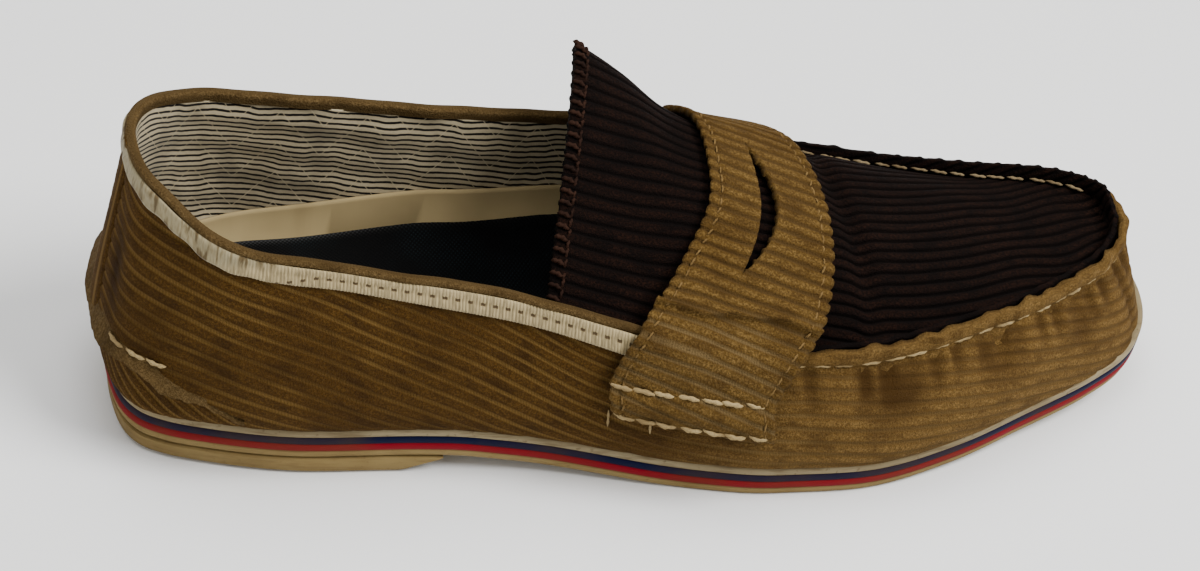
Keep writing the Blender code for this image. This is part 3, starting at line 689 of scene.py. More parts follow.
# The quarter's colours are the tan cloth's with painted shade: darker than the vamp's, with more of the light ground
# showing. Along the foot they fade into the vamp's colours.
QUARTER_DYE_AND_SHADE = Dye(
    pile=(0.048, 0.0215, 0.0030), crest=(0.098, 0.0505, 0.0098), shade=(0.017, 0.007, 0.0010),
    ground=(0.135, 0.077, 0.020), bare=0.95)
VAMP_DYE = Dye(
    pile=(0.107, 0.058, 0.0140), crest=(0.220, 0.134, 0.041), shade=(0.036, 0.0168, 0.0032),
    ground=(0.22, 0.143, 0.052), bare=0.3)
VAMP_FADE_OUT_OF_SHADE = Fade(VAMP_DYE, 0, -0.03, 0.05)


def upper_column(name, q):
    """A column of the upper's table, at places round the foot."""
    return round_foot(column(UPPER, "round"), column(UPPER, name), q)


def top_edge(q):
    """The upper's top edge: the collar's rim behind the strap, the apron's seam in front of it."""
    return np.stack([upper_column(name, q) for name in ("top_x", "top_y", "top_z")], -1)


def flap(name, q):
    """A column of the heel flap's table, alike on both sides of the heel."""
    from_back = np.minimum(np.mod(q, 2), 2 - np.mod(q, 2))
    return table_at(FLAP, name, from_back)


def level_out(line, q):
    """The same level direction as a vector in space."""
    return np.concatenate([outward(line, q), np.zeros((len(q), 1))], -1)


def bell(off, width):
    """1 in the middle, easing to nothing over about twice a width to either side."""
    return np.exp(-((off / width) ** 2))


def wall(q, share):
    """The upper's outer face, at shares of its height from the sole (0) to its top edge (1)."""
    q = np.asarray(q, float)
    ledge = TOE_LEDGE * bell(np.mod(q, 2) - TOE_LEDGE_AT, TOE_LEDGE_ROUND)
    foot, top = sole_line(q, UPPER_INSET + ledge[:, None], UPPER_LEVEL), top_edge(q)
    out = level_out(sole_edge, q)
    low = foot + out * upper_column("low_out", q)[:, None] + upper_column("low_up", q)[:, None] * UP
    high = top + out * upper_column("high_out", q)[:, None] - upper_column("drop", q)[:, None] * UP
    t = PROFILE[None, :, None]
    curve = ((1 - t) ** 3 * foot[:, None] + 3 * t * (1 - t) ** 2 * low[:, None]
             + 3 * t**2 * (1 - t) * high[:, None] + t**3 * top[:, None])
    run = run_along(curve)
    return along(curve, run, np.broadcast_to(share, (len(q), np.shape(share)[-1])) * run[:, -1:])


def run_along(grid):
    """The length along each line of a grid, from its first point."""
    steps = np.linalg.norm(np.diff(grid, axis=1), axis=-1)
    return np.concatenate([np.zeros((len(grid), 1)), steps.cumsum(axis=1)], 1)


def run_line(path):
    """The length along one line, from its first point."""
    return run_along(path[None])[0]


def on_line(at, knots, points):
    """The points of a line at places between its knots."""
    return np.stack([np.interp(at, knots, points[:, axis]) for axis in range(points.shape[1])], -1)


def along(values, run, at):
    """A grid's values at other lengths along its lines."""
    return np.stack([on_line(*line) for line in zip(at, run, values)])


def normals_of(grid, closed=False):
    """Unit normals of a grid of points, from its neighbours."""
    if closed:
        ring = np.concatenate([grid[-2:-1], grid, grid[1:2]])
        around = (ring[2:] - ring[:-2]) / 2
    else:
        around = np.gradient(grid, axis=0)
    normal = np.cross(around, np.gradient(grid, axis=1))
    return normal / np.linalg.norm(normal, axis=-1, keepdims=True).clip(1e-9)


def far_edge(q):
    """0 along the apron's outer side, easing to 1 from the toe round its inner side."""
    return np.clip((np.mod(q, 2) - FAR_EDGE_FROM) / FAR_EDGE_OVER, 0, 1)


def turned_edge(q, part):
    """The upper's edge where it is turned up, from its foot (0) to its scalloped top (1)."""
    phase, sewn, far = seam_phase(q), seam_share(q), far_edge(q)
    ripple = (1 - far) * (np.sin(0.83 * phase) + 0.7 * np.sin(0.41 * phase + 1))
    stand = upper_column("stand", q) * (1 + sewn * (SCALLOP * ripple - FAR_EDGE_CUT * far))
    stand = stand[:, None] * part
    wave = SCALLOP_LEAN * sewn * (1 - far) * (np.cos(phase) + np.sin(0.57 * phase))
    bulge = STAND_BULGE * sewn[:, None] * np.sin(np.pi * part)
    lean = outward(top_edge, q) * (STAND_LEAN * stand + wave[:, None] * part + bulge)
    return top_edge(q) + np.concatenate([lean, stand], -1)


def seam_share(q):
    """1 along the apron's seam, easing to 0 at its ends under the strap."""
    q = np.mod(q, 2)
    return np.clip((q - SEAM_FROM) / SEAM_EASE, 0, 1) * np.clip((SEAM_TO - q) / SEAM_EASE, 0, 1)


def seam_phase(q):
    """The count of stitches along the apron's seam, as an angle."""
    around = np.linspace(0, 2, UPPER_ROUND + 1)
    length = run_line(top_edge(around))[1:]
    return np.interp(np.mod(q, 2), around[1:], length) * 2 * np.pi / SEAM_STITCH


def wale_relief(count, depth=1.0):
    """How far corduroy lies below the tops of its wales, by the count of wales across."""
    side = np.abs(2 * np.mod(count, 1) - 1)
    return -depth * (WALE_ROUNDING * side**3 + GROOVE_DEPTH * bell(1 - side, GROOVE_SHARE))


def sway(lengthwise, count):
    """The small wander of wales in worn cloth, in wales."""
    return WALE_SWAY * (np.sin(lengthwise / 11 + count * 0.9) + np.sin(lengthwise / 4.7 - count * 1.7))


def upper_face(q):
    """The upper's outer face with its turned-up edge, a line at a time from the sole up."""
    stand = [turned_edge(q, part) for part in shares(STAND_STEPS)[1:]]
    return np.concatenate([wall(q, PROFILE), np.stack(stand, 1)], 1)


def upper_dents(q, around, height, length):
    """The folds and puckers of the upper, as depths along its normal."""
    below = length[:, None] - height
    phase = seam_phase(q)
    pinch = (0.5 + 0.5 * np.cos(phase)) * (0.55 + 0.45 * np.sin(0.37 * phase + 2)) * seam_share(q)
    under_seam = bell(below - SEAM_PUCKER_BELOW, SEAM_PUCKER_REACH)
    dents = -SEAM_PUCKER * pinch[:, None] * under_seam * np.clip(below / SEAM_PUCKER_START, 0, 1)
    for fold in FOLDS:
        apart = np.mod(q - fold.round + 1, 2) - 1
        beside = bell((apart * around[-1] / 2)[:, None], fold.width)
        dents = dents - fold.depth * beside * bell(height / length[:, None] - fold.share, fold.reach)
    return dents


def fanned(height):
    """How far the wales spread as they near the back of the heel, by height on the wall."""
    return np.clip((height - FAN_FROM) / FAN_OVER, 0, 1) ** 2


def wale_count(level):
    """The count of wales down to a level of the slanted cloth."""
    fine = np.linspace(0, QUARTER_WALES[-1].level, WALE_COUNT_STEPS)
    pitch = table_at(QUARTER_WALES, "pitch", fine)
    counts = np.concatenate([[0], (2 * np.diff(fine) / (pitch[1:] + pitch[:-1])).cumsum()])
    return np.interp(level, fine, counts)


def under_flap(q, around, height):
    """The count of the steeper wales below the heel's flap, and where they are."""
    turn = np.minimum(around, around[-1] - around)[:, None]
    at_heel = np.abs(1 - q) > 1 - FLAP[-1].round
    below = (height < flap("height", q)[:, None] + UNDER_FLAP_OVERLAP) & at_heel[:, None]
    return (height + UNDER_FLAP_SLANT * turn) / UNDER_FLAP_WALE, below


def slanted(edge, height):
    """The level of the slanted cloth at heights on the wall, by place along the foot."""
    drop = table_at(WALE_DRIFT, "drop", edge[:, 0])[:, None]
    fan = FAN * (1 - np.exp(-edge[:, :1] / FAN_X))
    return height + drop + fan * fanned(height)


def upper_cloth():
    """The upper's grid and pattern: rows follow the wales outside, then the plain inside back down."""
    even = np.linspace(0, 2, UPPER_ROUND + 1)
    q = even - HEEL_CLOSER * np.sin(np.pi * even) / np.pi
    face = upper_face(q)
    normal, run = normals_of(face, closed=True), run_along(face)
    edge = sole_edge(q)
    around = run_line(edge)
    steps = PROFILE * run[:, -1:]
    counts = wale_count(slanted(edge, steps))
    rows = np.arange(0, counts.max() + 1, 1 / WALE_SAMPLES)
    height = np.array([np.interp(rows, *line) for line in zip(counts, steps)])
    count = wale_count(slanted(edge, height))
    lengthwise = np.broadcast_to(around[:, None], count.shape)
    wavy = count + sway(lengthwise, count)
    steeper, below = under_flap(q, around, height)
    wavy = np.where(below, steeper, wavy)
    length = run[:, PROFILE_STEPS - 1]
    on_edge = np.clip((height - length[:, None] + PLAIN_BELOW_SEAM) / PLAIN_OVER, 0, 1)
    on_edge = on_edge * seam_share(q)[:, None]
    wavy = wavy + on_edge * (np.floor(wavy) + 0.5 - wavy)
    dents = upper_dents(q, around, height, length)
    set_back = UNDER_FLAP_DEPTH * below * np.clip(height / UNDER_FLAP_EASE, 0, 1)
    depth = dents + wale_relief(wavy, QUARTER_RELIEF) - set_back
    outer = along(face, run, height) + along(normal, run, height) * depth[..., None]
    out = level_out(top_edge, q)
    near_rim = np.clip(1 - (run[:, -1:] - run) / RIM_TAPER, 0, 1) * (1 - seam_share(q))[:, None]
    thick = (WALL - (WALL - RIM_WALL) * near_rim)[..., None]
    inner = face - normal * thick
    inner[:, PROFILE_STEPS - 1:] = (face - out[:, None] * thick)[:, PROFILE_STEPS - 1:]
    picks = np.linspace(face.shape[1] - 1, 0, INNER_STEPS).astype(int)
    grid = np.concatenate([outer, inner[:, picks], outer[:, :1]], 1)
    # The third column is the painted shade in the dents of the folds and puckers.
    pattern = np.stack([lengthwise, wavy, np.clip(-dents / DENT_SHADE_DEPTH, 0, 1)], -1)
    return grid, np.concatenate([pattern, pattern[:, picks], pattern[:, :1]], 1)


def cloth_place(tree, uv_map):
    """A point's place in the cloth, from a UV map: as a vector, and along and across the wales."""
    place = add_node(tree, "UVMap", uv_map=uv_map).outputs[0]
    return (place, *add_node(tree, "SeparateXYZ", {0: place}).outputs[:2])


def make_corduroy():
    """Corduroy: tufts of pile on rounded wales, their tops lighter where it is rubbed and with a painted
    highlight, painted shade down their sides, in the grooves and in the dents, and the woven ground where the
    grooves are bare."""
    takes = (*((socket, "Color") for socket in DYE_SOCKETS), ("Bare", "Float"))
    gives = (("Colour", "Color"), ("Height", "Float"))
    tree, given, result = effect("Corduroy", takes, gives)
    cloth, lengthwise, count = cloth_place(tree, "cloth")
    place = own_place(tree)
    side = math(tree, "MULTIPLY", away(tree, math(tree, "FRACT", count), 0.5), 2.0)
    # How much painted shade the cloth's dents take.
    crushed = cloth_place(tree, "crushed")[1]
    combed = add_node(tree, "Mapping", {"Vector": cloth, "Scale": (0.12, 0.8, 1.0)}).outputs[0]
    tufts, fibres = noise(tree, place, 1700.0, 2.0), noise(tree, place, 3400.0, 1.0)
    worn, brushed = noise(tree, place, 38.0, 3.0), noise(tree, combed, 1.0, 3.0)
    # The wales' tops are lighter: rubbed pile, with a painted highlight on them.
    crest = math(tree, "MULTIPLY", ramp(tree, side, 0.95, 0.1), ramp(tree, tufts, 0.32, 0.68))
    crest = math(tree, "MULTIPLY", crest, ramp(tree, worn, 0.3, 0.68, 0.55, 1.0))
    pile = mix(tree, crest, given["Pile"], given["Crest"])
    pile = mix(tree, ramp(tree, fibres, 0.42, 0.68, 0.0, 0.7), pile, given["Shade"])
    pile = mix(tree, ramp(tree, brushed, 0.44, 0.7, 0.0, 0.55), pile, given["Shade"])
    # Painted shade down the wales' sides and in the grooves, less where the ground is bare.
    depth = ramp(tree, given["Bare"], 0.0, 1.0, 0.85, 0.3)
    deep = math(tree, "MULTIPLY", ramp(tree, side, 0.5, 0.95), depth)
    shaded = mix(tree, deep, pile, given["Shade"])
    weave = math(tree, "SINE", math(tree, "MULTIPLY", lengthwise, 2 * np.pi / TUFT_ALONG))
    threads = math(tree, "MULTIPLY", ramp(tree, weave, -0.6, 0.4, 0.7, 1.0), given["Bare"])
    ground = math(tree, "MULTIPLY", ramp(tree, side, 0.52, 0.92), threads)
    ground = math(tree, "MULTIPLY", ground, ramp(tree, worn, 0.36, 0.6, 0.4, 1.0))
    woven = mix(tree, ground, shaded, given["Ground"])
    # Painted shade in the dents of folds and puckers, varied by the worn noise.
    dent_shading = math(tree, "MULTIPLY", crushed, ramp(tree, worn, 0.35, 0.6, 0.5, 0.95))
    tree.links.new(mix(tree, dent_shading, woven, given["Shade"]), result["Colour"])
    tree.links.new(math(tree, "ADD", tufts, math(tree, "MULTIPLY", fibres, 0.7)), result["Height"])
    return tree


CORDUROY = make_corduroy()


def corduroy(name, dye, fade=None, sheen=0.1):
    """Corduroy in its own dye, with the soft edge light of a short pile. Another dye may take over along
    the foot or across it."""
    material, tree, shader = finish(name, 0.95, sheen=sheen)
    cloth = add_node(tree, "Group", node_tree=CORDUROY)
    for socket, colour in zip(DYE_SOCKETS, dye):
        cloth.inputs[socket].default_value = (*colour, 1)
    cloth.inputs["Bare"].default_value = dye.bare
    if fade:
        place = add_node(tree, "SeparateXYZ", {0: own_place(tree)})
        along_fade = place.outputs[fade.axis], fade.start, fade.end
        share = ramp(tree, *along_fade)
        for socket, first, second in zip(DYE_SOCKETS, dye, fade.dye):
            tree.links.new(mix(tree, share, first, second), cloth.inputs[socket])
        tree.links.new(ramp(tree, *along_fade, dye.bare, fade.dye.bare), cloth.inputs["Bare"])
    shader.inputs["Sheen Tint"].default_value = (*dye.crest, 1)
    cover_with(tree, shader, cloth.outputs["Colour"], cloth.outputs["Height"], 0.8, 0.0005)
    return material


# The quarter's painted shade fades out into the vamp's colours towards the toe.
quarter_corduroy = corduroy("quarter corduroy", QUARTER_DYE_AND_SHADE, VAMP_FADE_OUT_OF_SHADE)
show("quarters", lay("quarters", *upper_cloth()), quarter_corduroy, "tan_corduroy", "upper")

# Back strip: a narrow folded strip of the same corduroy, sewn over the seam at the back of the heel
# from the heel's flap up to the collar.
STRIP_ROUND = 0.021
STRIP_RISE = 1.2
STRIP_SINK = 0.25
STRIP_CLOTH = 0.5
STRIP_COLUMNS = 10
STRIP_ROWS = 70


def on_face(face, height, rise):
    """Points at heights up the lines of a face, each raised along the face's normal."""
    run = run_along(face)
    return along(face, run, height) + along(normals_of(face), run, height) * rise[..., None]


def back_strip():
    """The strip's grid and pattern: rounded across, and following the back of the heel up."""
    part = np.linspace(-1, 1, STRIP_COLUMNS + 1)
    q = part * STRIP_ROUND
    face = upper_face(q)
    height = np.linspace(FLAP[0].height, run_along(face)[:, -1], STRIP_ROWS + 1).T
    rise = STRIP_RISE * np.sqrt(np.clip(1 - part**2, 0, 1))[:, None] - STRIP_SINK
    count = np.broadcast_to(part[:, None] + 0.5, height.shape)
    return on_face(face, height, rise), np.stack([height, count], -1)


def thicken(piece, depth):
    """Give a sheet its thickness, behind its face."""
    solid = piece.modifiers.new("thickness", "SOLIDIFY")
    solid.thickness = depth * MM
    solid.offset = -1
    return piece


thicken(show("back_strip", lay("back_strip", *back_strip()), quarter_corduroy, "tan_corduroy"), STRIP_CLOTH)

# Heel flap: a loose band of the cloth, its pile rubbed away, held round the heel by a few hand stitches.
# Its cut lower edge hangs free and stands off the wall.
FLAP_TOP = 22.5
FLAP_END = 0.212
FLAP_SINK = 0.7
FLAP_STITCHED = 0.125
FLAP_CLOTH = 1.3
FLAP_RAGGED = 0.7
FLAP_RAGS = ((1, 2.3, 0), (1, 0.9, 1), (1, 0.47, 0))
FLAP_WAVES = ((0.25, 3.1, 0),)
FLAP_END_WIDTH = 0.3
FLAP_COLUMNS = 260
FLAP_ACROSS = 24
RUBBED_DYE = Dye(
    pile=(0.070, 0.042, 0.0140), crest=(0.138, 0.088, 0.034), shade=(0.030, 0.016, 0.004),
    ground=(0.20, 0.135, 0.055), bare=0.2)


def waves(lengthwise, rows):
    """The sum of a few even waves, each with a height, a length and a start."""
    return sum(height * np.sin(lengthwise / length + start) for height, length, start in rows)


def heel_flap():
    """The flap's grid and pattern, from its ragged edge up to where it lies flat in the wall."""
    q = np.linspace(-FLAP_END, FLAP_END, FLAP_COLUMNS + 1)
    around = run_line(sole_edge(q))
    low = flap("height", q) + FLAP_RAGGED * waves(around, FLAP_RAGS) / len(FLAP_RAGS)
    part = shares(FLAP_ACROSS)[None, :]
    past = ((np.abs(q) - FLAP_STITCHED) / (FLAP_END - FLAP_STITCHED)).clip(0, 1)
    top = (FLAP_TOP + (low + FLAP_END_WIDTH - FLAP_TOP) * past**0.7)[:, None]
    height = low[:, None] + (top - low[:, None]) * part
    rise = (flap("off", q)[:, None] + FLAP_SINK) * (1 - part) ** 1.3 - FLAP_SINK
    rise = rise + waves(around, FLAP_WAVES)[:, None] * (1 - part)
    pattern = np.stack(np.broadcast_arrays(around[:, None], 0.5 + 0.2 * part), -1)
    return on_face(upper_face(q), height, rise), pattern


rubbed_corduroy = corduroy("rubbed corduroy", RUBBED_DYE)
thicken(show("heel_flap", lay("heel_flap", *heel_flap()), rubbed_corduroy, "tan_corduroy"), FLAP_CLOTH)

# Lining: off-white cotton with thin dark stripes, quilted to its backing with zigzag threads. It hangs
# inside the wall from the collar down to the footbed, round the heel from strap to strap.
COLLAR_FROM = -0.5
COLLAR_TO = 0.485
LINING_CLEAR = 0.3
LINING = 0.5
LINING_COLUMNS = 320
LINING_ROWS = 60
LINING_LOW = 12.0
LINING_BELOW_RIM = 1.8
LINING_SEWN = 5
LINING_STRIPE = 1.9
QUILT_RISE = 0.3
QUILT_WAVES = ((5.5, 4), (8.5, -3))
LINING_CLOTH = (0.54, 0.45, 0.285)
LINING_STRIPES = (0.006, 0.0045, 0.0035)


def lining_cloth():
    """The lining's grid and pattern, from the rim down."""
    q = np.linspace(COLLAR_FROM, COLLAR_TO, LINING_COLUMNS + 1)
    face = upper_face(q)
    rim = run_along(face)[:, -1:]
    depth = shares(LINING_ROWS)[None, :] * (rim - LINING_LOW - LINING_BELOW_RIM)
    height = rim - LINING_BELOW_RIM - depth
    around = run_line(face[:, -1])
    lengthwise = np.broadcast_to(around[:, None], depth.shape)
    quilt = QUILT_RISE
    for along_rim, downwards in QUILT_WAVES:
        quilt = quilt * np.cos(lengthwise / along_rim + depth / downwards)
    near_rim = np.clip(1 - (depth + LINING_BELOW_RIM) / RIM_TAPER, 0, 1)
    free = np.clip(depth / LINING_SEWN, 0, 1)
    inside = WALL - (WALL - RIM_WALL) * near_rim + LINING + free * (LINING_CLEAR - quilt)
    return on_face(face, height, -inside), np.stack([lengthwise, depth / LINING_STRIPE], -1)


def lining_material():
    """Striped cotton: stripes that wander with the cloth, a fine weave and pale quilting threads."""
    material, tree, shader = finish("striped lining", 0.9, sheen=0.1)
    cloth, lengthwise, depth = cloth_place(tree, "cloth")
    wander = math(tree, "MULTIPLY", math(tree, "SUBTRACT", noise(tree, cloth, 0.06, 2.0), 0.5), 2.4)
    jitter = math(tree, "MULTIPLY", math(tree, "SUBTRACT", noise(tree, cloth, 0.5, 1.0), 0.5), 0.18)
    wavy = math(tree, "ADD", math(tree, "ADD", depth, wander), jitter)
    stripes = ramp(tree, away(tree, math(tree, "FRACT", wavy), 0.5), 0.22, 0.17)
    weave = noise(tree, cloth, 4.0, 1.0)
    zigzag = math(tree, "PINGPONG", math(tree, "MULTIPLY", lengthwise, 0.7), 8.0)
    folded = math(tree, "PINGPONG", math(tree, "ADD", depth, zigzag), 6.0)
    thread = away(tree, folded, 3.0)
    dirty = tuple(0.62 * part for part in LINING_CLOTH)
    base = mix(tree, ramp(tree, noise(tree, cloth, 0.09, 3.0), 0.4, 0.72), LINING_CLOTH, dirty)
    base = mix(tree, ramp(tree, weave, 0.45, 0.7, 0.0, 0.35), base, dirty)
    striped = mix(tree, stripes, base, LINING_STRIPES)
    quilted = mix(tree, ramp(tree, thread, 0.16, 0.06, 0.0, 0.55), striped, LINING_CLOTH)
    cover_with(tree, shader, quilted, weave, 0.4, 0.0002)
    return material


def cut_size(grid, round_edged=False):
    """How a sheet was cut, in metres: its longest lengths both ways, and its area. The length of a sheet
    with round edges is that of its straightest line."""
    widths, lengths = (run_along(lines)[:, -1] * MM for lines in (grid, grid.transpose(1, 0, 2)))
    faces = np.cross(np.diff(grid, axis=0)[:, :-1], np.diff(grid, axis=1)[:-1])
    length = lengths.min() if round_edged else lengths.max()
    return {"flat": (widths.max(), length), "area": np.linalg.norm(faces, axis=-1).sum() * MM**2}


lining_grid, lining_pattern = lining_cloth()
lining = show("lining", lay("lining", lining_grid, lining_pattern), lining_material(), "cream_ribbon")
thicken(lining, LINING)
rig.sheet(lining, held="hung", rests_on=["quarters"], **cut_size(lining_grid))

# Collar binding: a strip of tan cloth folded over the collar's rim and sewn down on both sides. It ends
# under the strap.
BINDING_SKIN = 0.5
BINDING_RADIUS = RIM_WALL / 2 + BINDING_SKIN
BINDING_IN_RADIUS = BINDING_RADIUS + 0.45
BINDING_BELOW_RIM = 0.6
BINDING_OUT = 0.4
BINDING_IN = 1.9
BINDING_COLUMNS = 420
BINDING_ARC = 10
BINDING_RIB = 3.3
BINDING_WAVES = ((0.18, 6.1, 0), (0.12, 2.7, 0))
BINDING_RIB_SHIFT = 0.3


def binding_profile(radius):
    """The folded strip seen end on: out from the rim's middle and up, from its outer to its inner edge."""
    arc = np.radians(np.linspace(0, 180, BINDING_ARC + 1))
    over = np.stack([radius * np.cos(arc), radius * np.sin(arc)], -1)
    over[:, 0] *= np.where(over[:, 0] < 0, BINDING_IN_RADIUS / BINDING_RADIUS, 1)
    inner = over[-1, 0]
    return np.concatenate([[(radius, -BINDING_OUT), (radius, -BINDING_OUT / 2)], over,
                           [(inner, -BINDING_IN / 2), (inner, -BINDING_IN)]])


def collar_binding():
    """The binding's grid and pattern, over the rim and back under itself."""
    q = np.linspace(COLLAR_FROM, COLLAR_TO, BINDING_COLUMNS + 1)
    out = level_out(top_edge, q)
    rim = turned_edge(q, 1) - out * RIM_WALL / 2 - BINDING_BELOW_RIM * UP
    skin = binding_profile(BINDING_RADIUS)
    ring = np.concatenate([skin, binding_profile(BINDING_RADIUS - BINDING_SKIN)[::-1], skin[:1]])
    around = run_line(rim)
    run = run_line(ring)
    lean = waves(around, BINDING_WAVES)
    reach = ring[None, :, :1] * out[:, None] + (ring[:, 1:] * UP)[None]
    grid = rim[:, None] + reach + (lean[:, None] * out)[:, None]
    return grid, np.stack(np.broadcast_arrays(around[:, None], run / BINDING_RIB + BINDING_RIB_SHIFT), -1)


binding = close_ends(lay("collar_binding", *collar_binding()))
show("collar_binding", binding, rubbed_corduroy, "tan_corduroy")

# Collar ribbon: cream ribbed ribbon sewn round the collar below its binding. Dark thread shows in the
# groove along its middle, and behind the heel it is rubbed bare and frayed.
TAPE_TOP = 0.1
TAPE_ROWS = table(
    "round bottom",
    (0.00, 4.8),
    (0.18, 5.0),
    (0.30, 5.0),
    (0.40, 5.8),
    (0.50, 6.8),
)
TAPE_MEDIAL = -0.47
TAPE = 0.7
TAPE_RIB = 0.85
TAPE_RELIEF = 0.14
TAPE_GROOVE = 0.55
TAPE_GROOVE_DEPTH = 0.25
TAPE_GROOVE_WIDTH = 0.08
TAPE_EDGE_DROP = 0.3
TAPE_WAVES = ((0.25, 9, 0),)
FRAY_WAVES = ((0.5, 3.3, 0), (0.4, 1.3, 0))
FRAY_LOW = 0.7
FRAY_OUT = 0.3
TAPE_CLOTH = 0.5
TAPE_COLUMNS = 1800
TAPE_ACROSS = 10
TAPE_WORN_FROM = 0.16
TAPE_WORN_TO = 0.27
TAPE_WORN_SHIFT = 2
TAPE_CREAM = (0.39, 0.305, 0.160)
TAPE_WORN = (0.265, 0.225, 0.132)
TAPE_THREAD = (0.07, 0.045, 0.02)
TAPE_STITCH = 3.2


def collar_tape():
    """The ribbon's grid and pattern: ribs across it, a groove along it, and a soft worn stretch behind."""
    q = np.linspace(TAPE_MEDIAL, COLLAR_TO, TAPE_COLUMNS + 1)
    face = wall(q, PROFILE)
    rim = run_along(face)[:, -1]
    part = shares(TAPE_ACROSS)
    around = run_line(face[:, -1])
    ribbed = np.clip((np.abs(q) - TAPE_WORN_FROM) / (TAPE_WORN_TO - TAPE_WORN_FROM), 0, 1)
    fray = (1 - ribbed) * waves(around, FRAY_WAVES)
    deep = table_at(TAPE_ROWS, "bottom", np.abs(q))
    bottom = rim - deep - waves(around, TAPE_WAVES) + FRAY_LOW * fray
    height = bottom[:, None] + (rim - TAPE_TOP - bottom)[:, None] * part
    ribs = np.cos(2 * np.pi * around / TAPE_RIB)[:, None] * ribbed[:, None] * TAPE_RELIEF
    groove = TAPE_GROOVE_DEPTH * bell(part - TAPE_GROOVE, TAPE_GROOVE_WIDTH) * ribbed[:, None]
    ends = TAPE_EDGE_DROP * (2 * part - 1) ** 8
    rise = GAP + TAPE + ribs - groove - ends[None, :] + FRAY_OUT * fray[:, None] * np.sin(6 * part)[None, :]
    across = part + TAPE_WORN_SHIFT * (1 - ribbed[:, None])
    pattern = np.stack(np.broadcast_arrays(around[:, None], across), -1)
    return on_face(face, height, rise), pattern


def tape_material():
    """Ribbed cream ribbon, painted shade between its ribs, dark stitches in its groove, and the bare, paler
    stretch behind the heel.
    """
    material, tree, shader = finish("cream ribbon", 0.75, sheen=0.15)
    cloth, lengthwise, across = cloth_place(tree, "cloth")
    worn = ramp(tree, across, 1.05, 1.9)
    rib = math(tree, "COSINE", math(tree, "MULTIPLY", lengthwise, 2 * np.pi / TAPE_RIB))
    # Where the ribs dip, for the painted shade between them.
    between = math(tree, "MULTIPLY", ramp(tree, rib, 0.0, -0.9, 0.0, 0.6), math(tree, "SUBTRACT", 1.0, worn))
    middle = ramp(tree, away(tree, across, TAPE_GROOVE), 0.09, 0.05)
    dash = ramp(tree, math(tree, "FRACT", math(tree, "DIVIDE", lengthwise, TAPE_STITCH)), 0.42, 0.36)
    fuzz = noise(tree, cloth, 1.6, 4.0)
    # A darker cream: it soils the fuzz, and it is the painted shade between the ribs.
    soil = tuple(0.5 * part for part in TAPE_CREAM)
    colour = mix(tree, worn, TAPE_CREAM, TAPE_WORN)
    colour = mix(tree, ramp(tree, fuzz, 0.42, 0.66, 0.0, 0.8), colour, soil)
    bare = math(tree, "MULTIPLY", worn, ramp(tree, noise(tree, cloth, 0.45, 4.0), 0.5, 0.62, 0.0, 0.85))
    colour = mix(tree, bare, colour, RUBBED_DYE.pile)
    colour = mix(tree, between, colour, soil)
    colour = mix(tree, math(tree, "MULTIPLY", middle, dash), colour, TAPE_THREAD)
    cover_with(tree, shader, colour, fuzz, 0.6, 0.0003)
    return material


tape = lay("collar_ribbon", *collar_tape())
thicken(show("collar_ribbon", tape, tape_material(), "cream_ribbon", "collar_tape"), TAPE_CLOTH)

# Apron: a plug of dark brown corduroy over the toes, its wales lengthwise. Its edge is turned up and
# sewn inside the upper's, and the cloth dips in a soft trough just ahead of the strap.
APRON = 1.8
APRON_EDGE = WALL + GAP + APRON
APRON_LIFT = 0.8
APRON_BELOW_EDGE = 0.4
APRON_FAR_RISE = 1.0
APRON_CLOTH = 1.3
APRON_WALE = 3.15
APRON_MIDDLE = 8.0
ARC_STEPS = 161
APRON_REAR = 0.535
APRON_START = 157.0
APRON_COLUMNS = 170
APRON_WALE_SAMPLES = 11
APRON_AXIS = table(
    "x shift",
    (157, 0),
    (185, -0.8),
    (200, 0.3),
    (215, 3.2),
    (230, 7.5),
    (245, 12.5),
    (275, 22.5),
)
CROWN = table(
    "x y z full",
    (157, 13.5, 64.8, 3.0),
    (170, 12.0, 61.5, 3.0),
    (184, 10.0, 58.0, 2.9),
    (205, 8.0, 53.6, 2.6),
    (225, 7.5, 50.0, 2.3),
    (243, 8.0, 46.4, 2.0),
    (256, 8.5, 44.2, 1.8),
    (269, 9.5, 41.6, 1.5),
)
TROUGH_X = 189.0
TROUGH_DEPTH = 1.9
TROUGH_WIDTH = 3.2
TROUGH_SKEW = 0.05
TROUGH_EASE = 3
CROWN_MARGIN = 0.5
APRON_RELIEF = 1.7
EDGE_RELIEF = 1.5
EDGE_FADE = 2.5
EDGE_FADE_LEAST = 0.15
EDGE_ENDS = 0.01
EDGE_COLUMNS = 519
EDGE_ROWS = 12
EDGE_TUCK = 0.15
EDGE_BULGE = 0.5
EDGE_PINCH = 0.15
EDGE_CLEAR = 0.3
GATHER_FROM = 215.0
GATHER_TO = 262.0
GATHERS = ((0.35, 7.5, 9), (0.15, 4, -5))
BROWN_DYE = Dye(
    pile=(0.0036, 0.0012, 0.0006), crest=(0.0150, 0.0054, 0.0026), shade=(0.0005, 0.0002, 0.0001),
    ground=(0.012, 0.004, 0.002), bare=0.1)


def apron_base(q):
    """The foot of the apron's turned-up edge, inside the upper's."""
    inward = -outward(top_edge, q) * APRON_EDGE
    return top_edge(q) + np.concatenate([inward, np.full((len(q), 1), APRON_LIFT)], -1)


SEAM_ROUND = np.linspace(APRON_REAR, 2 - APRON_REAR, 801)
SEAM_FOOT = apron_base(SEAM_ROUND)
SEAM_TIP = int(SEAM_FOOT[:, 0].argmax())
APRON_TOE = SEAM_FOOT[SEAM_TIP, 0]


def apron_sides(x):
    """The apron's lateral and medial edge at places along the foot, each as y and z."""
    halves = SEAM_FOOT[:SEAM_TIP + 1], SEAM_FOOT[SEAM_TIP:][::-1]
    return [[np.interp(x, half[:, 0], half[:, axis]) for axis in (1, 2)] for half in halves]


